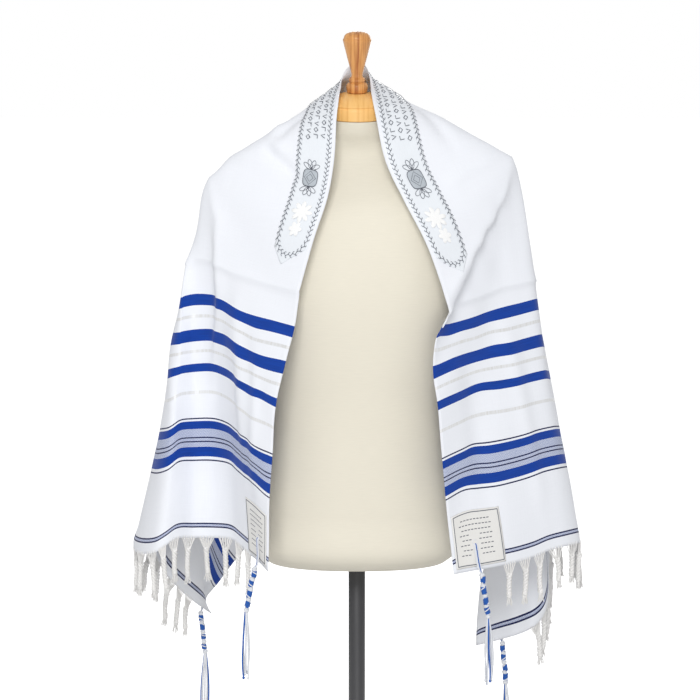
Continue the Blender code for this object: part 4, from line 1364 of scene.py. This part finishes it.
SQUARE_INSET = 0.0035       # of the stitched line from the square's edge
SQUARE_LINE = STITCH_HALF_WIDTH * 1.4
DASH_ROWS = 8
DASH_FROM = 0.015           # from the square's inner edge to the first row
DASH_ROW_PITCH = 0.0082
DASH_REACHES = (0.029, 0.033)       # half the length of an even row and an odd one
DASH_PITCH = 0.0062
DASH = (0.0, 0.0020, 0.0042)
EYELET_ROWS_FROM = 0.035    # rows past here leave room for the eyelet's strands
EYELET_ROOM = 0.0075


def eyelet_u(depth_name):
    """How far across the cloth the eyelets of that depth are."""
    return BAND_MIDDLE if depth_name == "front" else CLOTH_WIDTH - BAND_MIDDLE


def square_span(depth_name):
    """Range of u that a corner square covers."""
    if depth_name == "front":
        return EDGE_MARGIN, SQUARE_END
    return CLOTH_WIDTH - SQUARE_END, CLOTH_WIDTH - EDGE_MARGIN


def square_border(low, high, near, far, outward):
    """The stitched line inside a square's edges, as parts."""
    low, high, near, far = (low + SQUARE_INSET, high - SQUARE_INSET, near + SQUARE_INSET,
                            far - SQUARE_INSET)
    corners = np.array([(low, near), (high, near), (high, far), (low, far), (low, near)])
    shares = np.linspace(0, 1, 24)[:, None]
    parts = []
    for start, end in zip(corners[:-1], corners[1:]):
        line = start + (end - start) * shares
        parts.append(ribbon(line * (1.0, outward), SQUARE_LINE, STITCH_HEIGHT, STITCH_LIFT))
    return parts


def square_dashes(depth_name, low, high, near, outward):
    """Rows of running stitch on a square, as parts."""
    parts = []
    for row in range(DASH_ROWS):
        v = near + DASH_FROM + DASH_ROW_PITCH * row
        reach = DASH_REACHES[row % 2]
        for dash in range(int(2 * reach / DASH_PITCH)):
            first = (low + high) / 2 - reach + DASH_PITCH * dash
            by_eyelet = abs(first + DASH[1] - eyelet_u(depth_name)) < EYELET_ROOM
            if by_eyelet and v > near + EYELET_ROWS_FROM:
                continue
            line = [(first + along, v * outward) for along in DASH]
            parts.append(ribbon(line, STITCH_HALF_WIDTH * 1.7, STITCH_HEIGHT * 0.8,
                                THREAD_LIFT + 0.0005))
    return parts


def make_square(settings, depth_name, side, satin, threads):
    """A satin square in one corner, with its stitched line and rows of running stitch."""
    outward = HALVES[side]["outward"]
    low, high = square_span(depth_name)
    near = HALF_LENGTH - SQUARE_END
    far = HALF_LENGTH - EDGE_MARGIN
    item, x, y = new_sheet(f"satin_square_{depth_name}_{side}", SQUARE_CELLS, SQUARE_CELLS)
    u = low + (high - low) * x
    w = outward * (near + (far - near) * y)
    points, normals = CLOTH.read(u, w)
    edge = np.minimum(np.minimum(x, 1 - x), np.minimum(y, 1 - y)) * (far - near)
    puff = 0.0006 * (1 - np.exp(-edge / 0.004))
    place_points(item, points + normals * (BAND_LIFT + puff)[:, None])
    write_uv(item, "cut", u, w)
    if outward > 0:
        flip(item)
    smooth(item)
    give_wall(item, settings.satin_thickness, 1.0)
    node = f"patch_{depth_name}_{side}"
    finish_piece(item, satin, node, node)
    parts = square_border(low, high, near, far, outward)
    parts += square_dashes(depth_name, low, high, near, outward)
    finish_piece(stitched(f"square_stitches_{depth_name}_{side}", parts), threads, node)


def flip(item):
    """Turn all faces of a sheet round."""
    edit_all(item, bpy.ops.mesh.flip_normals)


# ---------------------------------------------------------------- yarns
def helix(start, way, side_a, side_b, radius, from_drop, to_drop, turns, phase, yarn, steps=14):
    """A yarn wound round the line from start along way."""
    count = max(4, int(steps * abs(turns)) + 1)
    drops = np.linspace(from_drop, to_drop, count)
    angle = phase + np.linspace(0, 2 * math.pi * turns, count)
    points = (start + way * drops[:, None]
              + side_a * (radius * np.cos(angle))[:, None]
              + side_b * (radius * np.sin(angle))[:, None])
    return np.hstack([points, np.full((count, 1), yarn)])


def axes_about(way, along, normal):
    """Two directions square to way, the first nearest to along."""
    side_a = unit(along - way * (along @ way))
    side_b = unit(np.cross(side_a, way))
    if side_b @ normal < 0:
        side_b = -side_b
    return side_a, side_b


def tassel_roots(side):
    """Where the fringe's tassels hang: number, place on the hem, its hem frame and its direction."""
    lines = CLOTH.across[FRINGE_COLUMNS[0]:FRINGE_COLUMNS[1]]
    places = np.interp(np.arange(2 * len(lines) - 1) / 2, np.arange(len(lines)), lines)
    roots = []
    for cell in range(0, len(places) - 1, 2):
        u = (places[cell] + places[cell + 1]) / 2
        point, along, down, normal = hem_frame(CLOTH, side, u)
        if any(np.linalg.norm(point - other[2]) < TASSEL_ROOM for other in roots):
            continue
        sway = SWAY * math.sin(SWAY_TURN * cell)
        hang = unit(np.array([sway, SWAY * math.cos(SWAY_TURN * cell), -1.0]) + down * HANG_SHARE)
        roots.append((cell, u, point, along, down, normal, hang))
    return roots


def gathered_yarns(u, outward, hang, side_a, side_b, line, yarn):
    """Yarns that come out of the hem about u and run together."""
    strands = []
    middle = GATHERED_YARNS // 2
    for number in range(GATHERED_YARNS):
        aside = (number - middle) / middle
        place = np.clip(u + GATHER_REACH * aside, CLOTH.across[3], CLOTH.across[-4])
        face = 1 if number % 2 else -1
        inside, normal = CLOTH.read([place], [outward * (HALF_LENGTH - 0.004)])
        edge, _ = CLOTH.read([place], [outward * HALF_LENGTH])
        first = inside[0] + normal[0] * face * 0.0009
        second = edge[0] + normal[0] * face * 0.0007
        knot = line(GATHER_DROP) + side_a * aside * 0.0022 + side_b * face * 0.0012
        bend = second * 0.45 + knot * 0.55 + hang * 0.003 * (1 - abs(aside))
        rows = [first, second, second * 0.8 + bend * 0.2, bend, knot, line(GATHER_DROP + 0.005)]
        widths = [yarn * 0.5, yarn * 0.8, yarn * 0.9, yarn, yarn, yarn * 0.9]
        strands.append([(*place, width) for place, width in zip(rows, widths)])
    return strands


def plied_yarns(length, side_a, side_b, line):
    """The plies of a tassel, twisted round one another down to its knot."""
    strands = []
    drops = np.linspace(PLY_START, length - KNOT_ABOVE_END, 26)
    for ply in range(PLIES):
        angle = ply * 2 * math.pi / PLIES + drops * 2 * math.pi / PLY_PITCH
        rows = []
        for drop, turn in zip(drops, angle):
            # a little wider just under the gathered yarns
            reach = 0.0023 + 0.0006 * math.exp(-((drop - 0.016) / 0.005) ** 2)
            spot = line(drop) + side_a * reach * math.cos(turn) + side_b * reach * math.sin(turn)
            rows.append((*spot, PLY_RADIUS))
        strands.append(rows)
    return strands


def brush_yarns(middle, hang, side_a, side_b, yarn, rng):
    """The loose yarns below a tassel's knot."""
    strands = []
    for end in range(BRUSH_YARNS):
        turn = end * GOLDEN_TURN
        reach = 0.0034 * math.sqrt((end + 0.5) / BRUSH_YARNS) + 0.0006
        way = side_a * math.cos(turn) * 1.5 + side_b * math.sin(turn)
        tail = BRUSH_LENGTH + rng.uniform(-0.003, 0.001)
        rows = []
        for share in (0.0, 0.25, 0.6, 1.0):
            wave = rng.normal(0, 0.0006, 2) * share
            spot = (middle + hang * (0.002 + tail * share) + way * reach * (0.45 + 0.75 * share)
                    + side_a * wave[0] + side_b * wave[1])
            rows.append((*spot, yarn * (0.95 - 0.35 * share)))
        strands.append(rows)
    return strands


def make_fringe(settings, side, yarn_material):
    """Knotted tassels along one hem, each gathered from the hem's own yarns."""
    rng = np.random.default_rng(FRINGE_SEEDS[side])
    outward = HALVES[side]["outward"]
    yarn = settings.yarn_radius
    strands = []
    for cell, u, point, along, down, normal, hang in tassel_roots(side):
        side_a, side_b = axes_about(hang, along, normal)
        start = point + down * STRIP_END
        bow = rng.normal(0, 0.0026, 2)
        length = TASSEL_LENGTH + rng.uniform(-0.011, 0.004)

        def line(drop):
            curve = math.sin(math.pi * min(1.0, drop / length))
            return start + hang * drop + side_a * bow[0] * curve + side_b * bow[1] * curve

        strands += gathered_yarns(u, outward, hang, side_a, side_b, line, yarn)
        strands += plied_yarns(length, side_a, side_b, line)
        middle = line(length - KNOT_ABOVE_END)
        strands.append(helix(middle, hang, side_a, side_b, 0.0026, -0.0030, 0.0034, 2.0,
                             cell * 0.7, 0.0021))
        strands.append(helix(middle, hang, side_a, side_b, 0.0030, 0.0032, -0.0022, 1.4,
                             cell * 0.7 + 2.0, 0.0019))
        strands += brush_yarns(middle, hang, side_a, side_b, yarn, rng)
    item = add_yarns(f"fringe_tassels_{side}", strands, 0)
    return finish_piece(item, yarn_material, f"fringe_{side}", f"fringe_{side}")


def corner_strand(u, outward, point, along, normal, lift, aside, end):
    """A strand from the eyelet over the hem to the wound part."""
    places = np.array([HALF_LENGTH - BAND_MIDDLE - 0.0005, HALF_LENGTH - BAND_MIDDLE + 0.004,
                       HALF_LENGTH - 0.026, HALF_LENGTH - 0.012, HALF_LENGTH - 0.002])
    points, normals = CLOTH.read(np.full(5, u), places * outward)
    lifts = np.array([0.0002, 0.9, 1.0, 1.1, 1.5])[:, None] * lift
    rows = list(points + normals * lifts + along * aside)
    rows += [point + normal * (lift + 0.0022) + along * aside * 0.7 + end[0], end[1]]
    return [(*place, STRAND_RADIUS) for place in rows]


def eyelet_ring(u, outward, along):
    """A stitched ring round an eyelet."""
    eyelet, out = CLOTH.read([u], [outward * (HALF_LENGTH - BAND_MIDDLE)])
    ring_a = unit(along - out[0] * (along @ out[0]))
    ring_b = unit(np.cross(out[0], ring_a))
    turn = np.linspace(0, 2 * math.pi, 25)
    ring = (eyelet[0] + out[0] * (THREAD_LIFT + 0.0003)
            + ring_a * EYELET_RADIUS * np.cos(turn)[:, None]
            + ring_b * EYELET_RADIUS * np.sin(turn)[:, None])
    return np.hstack([ring, np.full((25, 1), 0.0007)])


def wound_part(start, hang, along, normal, side_a, side_b, rng):
    """Core, windings and knots of a corner tassel: its white yarns and its blue ones."""
    whites = [[(*(start + hang * drop), 0.0030) for drop in np.linspace(0.004, 0.0800, 12)]]
    blues = []
    for first, last in WINDING_DROPS:
        aside = side_a * rng.uniform(-0.0010, 0.0010) + side_b * rng.uniform(-0.0006, 0.0006)
        first += rng.uniform(-0.0012, 0.0012)
        last += rng.uniform(-0.0012, 0.0012)
        middle = (first + last) / 2
        tilt = unit(hang + side_a * rng.uniform(-0.16, 0.16))
        tilt_a, tilt_b = axes_about(tilt, along, normal)
        centre = start + aside + hang * middle
        turns = (last - first) / WINDING_PITCH
        blues.append(helix(centre, tilt, tilt_a, tilt_b, WOUND_RADIUS, first - middle,
                           last - middle, turns, 0.4, 0.00122))
        whites.append(helix(centre, tilt, tilt_a, tilt_b, 0.0043, first - middle, last - middle,
                            0.8, rng.uniform(0, 6), 0.00100))
    for drop in KNOT_DROPS:
        for lean in (-1, 1):
            tilt = unit(hang + side_a * 0.22 * lean)
            knot_a, knot_b = axes_about(tilt, along, normal)
            whites.append(helix(start + hang * drop, tilt, knot_a, knot_b, WOUND_RADIUS, -0.0016,
                                0.0016, 1.35, 1.9 * lean, 0.00140))
    return whites, blues


def loose_string(number, end, fall, side_a, side_b, rng):
    """A loose string of a corner tassel, and the knot at its tip."""
    turn = number * math.pi / 4 + 0.3
    way = side_a * math.cos(turn) + side_b * math.sin(turn)
    length = LOOSE_LENGTH - 0.001 - rng.uniform(0.0, 0.012)
    reach = rng.uniform(0.0035, 0.0060)
    swing = rng.uniform(0.4, 1.3)
    rows = []
    for share in np.linspace(0, 1, 12):
        bow = math.sin(2.4 * share) * reach + 0.0016
        wave = 0.0014 * math.sin(6.0 * share * swing + number * 1.7) * share
        spot = end + fall * length * share + way * bow + side_a * wave + side_b * wave * 0.5
        rows.append((*spot, STRING_RADIUS))
    tip = np.array(rows[-1][:3])
    return [rows, [(*(tip - fall * above), radius) for above, radius in STRING_TIP]]


def make_corner_tassel(depth_name, side, white, blue):
    """Corner tassel: strands through the eyelet, knots and blue windings, loose strings."""
    rng = np.random.default_rng(CORNER_SEEDS[f"{depth_name}_{side}"])
    u = eyelet_u(depth_name)
    outward = HALVES[side]["outward"]
    point, along, down, normal = hem_frame(CLOTH, side, u)
    lift = THREAD_LIFT + LOOP_GAP + 0.0012
    start = point + normal * (lift + CORNER_STAND_OFF)
    fall = unit(np.array([0.0, 0.0, -1.0]) + down * HANG_SHARE)
    hang = unit(np.array([CORNER_LEANS[f"{depth_name}_{side}"], 0.0, -1.0]) + down * HANG_SHARE)
    side_a, side_b = axes_about(hang, along, normal)
    whites = []
    blues = []
    for strand in range(CORNER_STRANDS):
        aside = (strand - (CORNER_STRANDS - 1) / 2) * STRAND_PITCH
        end = (hang * 0.002, start + side_a * aside * 0.5 + hang * 0.007)
        line = corner_strand(u, outward, point, along, normal, lift, aside, end)
        (blues if strand == BLUE_STRAND else whites).append(line)
    whites.append(eyelet_ring(u, outward, along))
    wound_whites, wound_blues = wound_part(start, hang, along, normal, side_a, side_b, rng)
    whites += wound_whites
    blues += wound_blues
    for number in range(LOOSE_STRINGS):
        string = loose_string(number, start + hang * WOUND_END, fall, side_a, side_b, rng)
        if number in BLUE_STRINGS:
            blues += string
        else:
            whites += string
    node = f"tzitzit_{depth_name}_{side}"
    finish_piece(add_yarns(f"corner_tassel_white_{depth_name}_{side}", whites, 1), white,
                 node, node)
    finish_piece(add_yarns(f"corner_tassel_blue_{depth_name}_{side}", blues, 1), blue, node)


# ---------------------------------------------------------------- operators
class SHAWL_OT_cloth(bpy.types.Operator):
    """Hang the woven cloth over the form"""
    bl_idname = "shawl.cloth"
    bl_label = "Cloth"

    def execute(self, context):
        settings = context.scene.shawl
        item, x, y = new_sheet("woven_shawl", *CLOTH_CELLS)
        u = CLOTH_WIDTH * x
        rows = np.linspace(-HALF_LENGTH, HALF_LENGTH, CLOTH_CELLS[1] + 1)
        for side, place in PRESSED_FOLDS.items():
            outward = HALVES[side]["outward"]
            row = int(np.argmin(np.abs(rows - place * outward)))
            rows[row - outward] = (place - PRESSED_ROWS[0]) * outward
            rows[row] = place * outward
            rows[row + outward] = (place + PRESSED_ROWS[1]) * outward
        w = rows[np.rint(y * CLOTH_CELLS[1]).astype(int)]
        points, _ = CLOTH.read(u, w)
        place_points(item, points)
        write_uv(item, "cut", u, w)
        smooth(item)
        give_wall(item, settings.thickness)
        finish_piece(item, finish_named("striped_weave", cloth_finish, settings), "shawl",
                     "shawl")
        return {"FINISHED"}


class SHAWL_OT_neckband(bpy.types.Operator):
    """Sew on the satin neckband with its stitching"""
    bl_idname = "shawl.neckband"
    bl_label = "Neckband"

    def execute(self, context):
        settings = context.scene.shawl
        satin = finish_named("white_satin", satin_finish, settings.satin)
        dark = finish_named("dark_thread", thread_finish, settings.embroidery)
        grey = finish_named("grey_thread", thread_finish, settings.ornament_grey, 0.5)
        white = finish_named("white_thread", thread_finish, settings.ornament_white, 0.4)
        make_neckband(settings, satin)
        make_border(dark)
        make_ornaments(grey, white, dark)
        return {"FINISHED"}


class SHAWL_OT_squares(bpy.types.Operator):
    """Sew a satin square in each corner"""
    bl_idname = "shawl.squares"
    bl_label = "Corner squares"

    def execute(self, context):
        settings = context.scene.shawl
        satin = finish_named("square_satin", satin_finish, settings.satin_square)
        dark = finish_named("dark_thread", thread_finish, settings.embroidery)
        for depth_name in ("front", "back"):
            for side in HALVES:
                make_square(settings, depth_name, side, satin, dark)
        return {"FINISHED"}


class SHAWL_OT_fringe(bpy.types.Operator):
    """Knot the fringe along both hems"""
    bl_idname = "shawl.fringe"
    bl_label = "Fringe"

    def execute(self, context):
        settings = context.scene.tassels
        yarn = finish_named("fringe_yarn", thread_finish, settings.yarn_white)
        for side in HALVES:
            make_fringe(settings, side, yarn)
        return {"FINISHED"}


class SHAWL_OT_corner_tassels(bpy.types.Operator):
    """Tie a corner tassel through each eyelet"""
    bl_idname = "shawl.corner_tassels"
    bl_label = "Corner tassels"

    def execute(self, context):
        settings = context.scene.tassels
        white = finish_named("white_cord", thread_finish, settings.cord_white)
        blue = finish_named("blue_cord", thread_finish, settings.cord_blue)
        for depth_name in ("front", "back"):
            for side in HALVES:
                make_corner_tassel(depth_name, side, white, blue)
        return {"FINISHED"}


class SHAWL_OT_form(bpy.types.Operator):
    """Make the covered form"""
    bl_idname = "shawl.form"
    bl_label = "Form"

    def execute(self, context):
        settings = context.scene.form
        item, x, y = new_sheet("covered_form", TORSO_SIDES, TORSO_ROWS)
        bottom = TORSO_RINGS[0][0]
        top = TORSO_RINGS[-1][0]
        heights = bottom + (top - bottom) * y
        rings = read_curve(TORSO_RINGS, heights)
        middle_y, half_width, half_depth, lean = rings.T
        lean = np.radians(lean)
        slant = SHOULDER_SLANT * rise(heights, SLANT_FROM, SLANT_TO)
        slant *= 1 - rise(heights, SLANT_TO, SLANT_END)
        blend = rise(heights, SLANT_TO + ROUND_SPAN[0], SLANT_TO + ROUND_SPAN[1])
        power = 2 / TORSO_SQUARENESS + (1 - 2 / TORSO_SQUARENESS) * blend
        turn = 2 * math.pi * x
        cosine = np.cos(turn)
        sine = np.sin(turn)
        side = half_width * np.copysign(np.abs(cosine) ** power, cosine)
        depth = half_depth * np.copysign(np.abs(sine) ** power, sine)
        points = np.stack([side, middle_y + depth * np.cos(lean),
                           heights + depth * np.sin(lean) + slant * side], axis=1)
        place_points(item, points)
        close_form(item)
        edit_all(item, fill_ends, turn_outwards)
        smooth(item, TORSO_ANGLE)
        finish_piece(item, finish_named("form_cover", cover_finish, settings.cover),
                     "torso", "torso")
        return {"FINISHED"}


class SHAWL_OT_turned_wood(bpy.types.Operator):
    """Turn the wooden neck cap and its knob"""
    bl_idname = "shawl.turned_wood"
    bl_label = "Cap and knob"

    def execute(self, context):
        settings = context.scene.form
        wood = finish_named("turned_wood", wood_finish, settings.wood_light, settings.wood_dark)
        cap_wood = finish_named("cap_wood", wood_finish, settings.cap_light, settings.cap_dark)
        cap = lathe("turned_cap", CAP_PROFILE, 72, NECK_TOP, NECK_LEAN, WOOD_ANGLE)
        finish_piece(cap, cap_wood, "neck_cap", "neck_cap")
        knob = lathe("turned_knob", KNOB_PROFILE, 64, NECK_TOP, NECK_LEAN, WOOD_ANGLE)
        finish_piece(knob, wood, "knob", "knob")
        return {"FINISHED"}


class SHAWL_OT_stand(bpy.types.Operator):
    """Make the pole and the round base"""
    bl_idname = "shawl.stand"
    bl_label = "Stand"

    def execute(self, context):
        settings = context.scene.form
        metal = finish_named("coated_steel", metal_finish, settings.metal)
        pole = lathe("stand_pole", POLE_PROFILE, 48)
        finish_piece(pole, metal, "pole", "pole")
        base = lathe("stand_base", BASE_PROFILE, 96)
        finish_piece(base, metal, "base", "base")
        return {"FINISHED"}


# ---------------------------------------------------------------- the stage
FLOOR_RADIUS = 400.0
FLOOR_DROP = 0.0005         # under the base
FLOOR_GLOW = 0.60
# name, place, size across and down, share of the main light's power
LIGHTS = (
    ("key", (-0.4, -3.6, 3.3), (1.3, 1.3), 1.0),
    ("front", (0.8, -4.2, 1.0), (1.6, 1.6), 0.06),
    ("low", (0.2, -3.2, 0.2), (1.6, 0.8), 0.20),
    ("back", (0.7, 3.6, 2.1), (2.0, 1.4), 0.50),
)
LIGHT_AIM = (0.0, 0.0, 1.15)
CAMERA_PLACE = (-0.0115, -3.20, 1.5376)
CAMERA_TILT = 83.0          # degrees from straight down
CAMERA_LENS = 100.0
CAMERA_SENSOR = 36.0


def lay_floor(settings):
    """A wide pale floor that glows a little."""
    deselect()
    bpy.ops.mesh.primitive_circle_add(vertices=96, radius=FLOOR_RADIUS, fill_type="NGON",
                                      location=(0.0, 0.0, -FLOOR_DROP))
    floor = bpy.context.object
    floor.name = "floor"
    pale = Finish("pale_floor", settings.floor, 0.9, Specular_IOR_Level=0.0,
                  Emission_Strength=FLOOR_GLOW)
    pale.shader.inputs["Emission Color"].default_value = (1.0, 1.0, 1.0, 1.0)
    source, *_ = pale.place()
    cloudy = pale.noise(source, 3.0, 2.0)
    pale.paint(pale.spread(cloudy, 0.3, 0.7), tint(settings.floor, 0.985), tint(settings.floor))
    floor.data.materials.append(pale.material)
    floor.visible_diffuse = False      # so the pale floor doesn't wash out the folds from below


def light_all_round(scene, settings):
    """A white background that lights the scene less than it shows to the camera."""
    scene.world = scene.world or bpy.data.worlds.new("world")
    scene.world.use_nodes = True
    tree = scene.world.node_tree
    sky = tree.nodes["Background"]
    sky.inputs["Color"].default_value = (1.0, 1.0, 1.0, 1.0)
    seen = tree.nodes.new("ShaderNodeLightPath")
    level = tree.nodes.new("ShaderNodeMapRange")
    level.inputs["To Min"].default_value = settings.fill
    level.inputs["To Max"].default_value = 1.0
    tree.links.new(seen.outputs["Is Camera Ray"], level.inputs["Value"])
    tree.links.new(level.outputs[0], sky.inputs["Strength"])


def hang_lights(scene, settings):
    """Soft lights, all aimed at the chest."""
    for name, place, size, power in LIGHTS:
        light = bpy.data.lights.new(name, "AREA")
        light.shape = "RECTANGLE"
        light.size, light.size_y = size
        light.energy = power * settings.key_power
        lamp = bpy.data.objects.new(name, light)
        lamp.location = place
        aim = Vector(LIGHT_AIM) - Vector(place)
        lamp.rotation_euler = aim.to_track_quat("-Z", "Y").to_euler()
        scene.collection.objects.link(lamp)


def place_camera(scene):
    """The camera, a little above the chest and looking slightly down."""
    lens = bpy.data.cameras.new("camera")
    lens.lens = CAMERA_LENS
    lens.sensor_width = CAMERA_SENSOR
    camera = bpy.data.objects.new("camera", lens)
    camera.location = CAMERA_PLACE
    camera.rotation_euler = (math.radians(CAMERA_TILT), 0.0, 0.0)
    scene.collection.objects.link(camera)
    scene.camera = camera


class SHAWL_OT_stage(bpy.types.Operator):
    """Lay the floor and set the lights and the camera"""
    bl_idname = "shawl.stage"
    bl_label = "Stage"

    def execute(self, context):
        settings = context.scene.stage
        lay_floor(settings)
        light_all_round(context.scene, settings)
        hang_lights(context.scene, settings)
        place_camera(context.scene)
        context.scene.view_settings.view_transform = "Standard"
        return {"FINISHED"}


class SHAWL_PT_panel(bpy.types.Panel):
    """Sizes, colours and steps of the draped shawl"""
    bl_idname = "SHAWL_PT_panel"
    bl_label = "Draped shawl"
    bl_space_type = "VIEW_3D"
    bl_region_type = "UI"
    bl_category = "Shawl"

    def draw(self, context):
        for owner in SETTINGS:
            group = getattr(context.scene, owner)
            box = self.layout.box()
            for key in group.__annotations__:
                box.prop(group, key)
        for operator in OPERATORS:
            self.layout.operator(operator.bl_idname)


SETTINGS = {"shawl": ShawlSettings, "tassels": TasselSettings, "form": FormSettings,
            "stage": StageSettings}
OPERATORS = (SHAWL_OT_stage, SHAWL_OT_form, SHAWL_OT_turned_wood, SHAWL_OT_stand, SHAWL_OT_cloth,
             SHAWL_OT_neckband, SHAWL_OT_squares, SHAWL_OT_fringe, SHAWL_OT_corner_tassels)


def register():
    """Add the settings, the operators and the panel."""
    for group in SETTINGS.values():
        bpy.utils.register_class(group)
    for owner, group in SETTINGS.items():
        setattr(bpy.types.Scene, owner, bpy.props.PointerProperty(type=group))
    for operator in OPERATORS:
        bpy.utils.register_class(operator)
    bpy.utils.register_class(SHAWL_PT_panel)


def unregister():
    """Take them away again."""
    bpy.utils.unregister_class(SHAWL_PT_panel)
    for operator in reversed(OPERATORS):
        bpy.utils.unregister_class(operator)
    for owner in SETTINGS:
        delattr(bpy.types.Scene, owner)
    for group in reversed(list(SETTINGS.values())):
        bpy.utils.unregister_class(group)


def main():
    """Make every piece in order."""
    register()
    for operator in OPERATORS:
        group, name = operator.bl_idname.split(".")
        getattr(getattr(bpy.ops, group), name)()


if __name__ == "__main__":
    main()
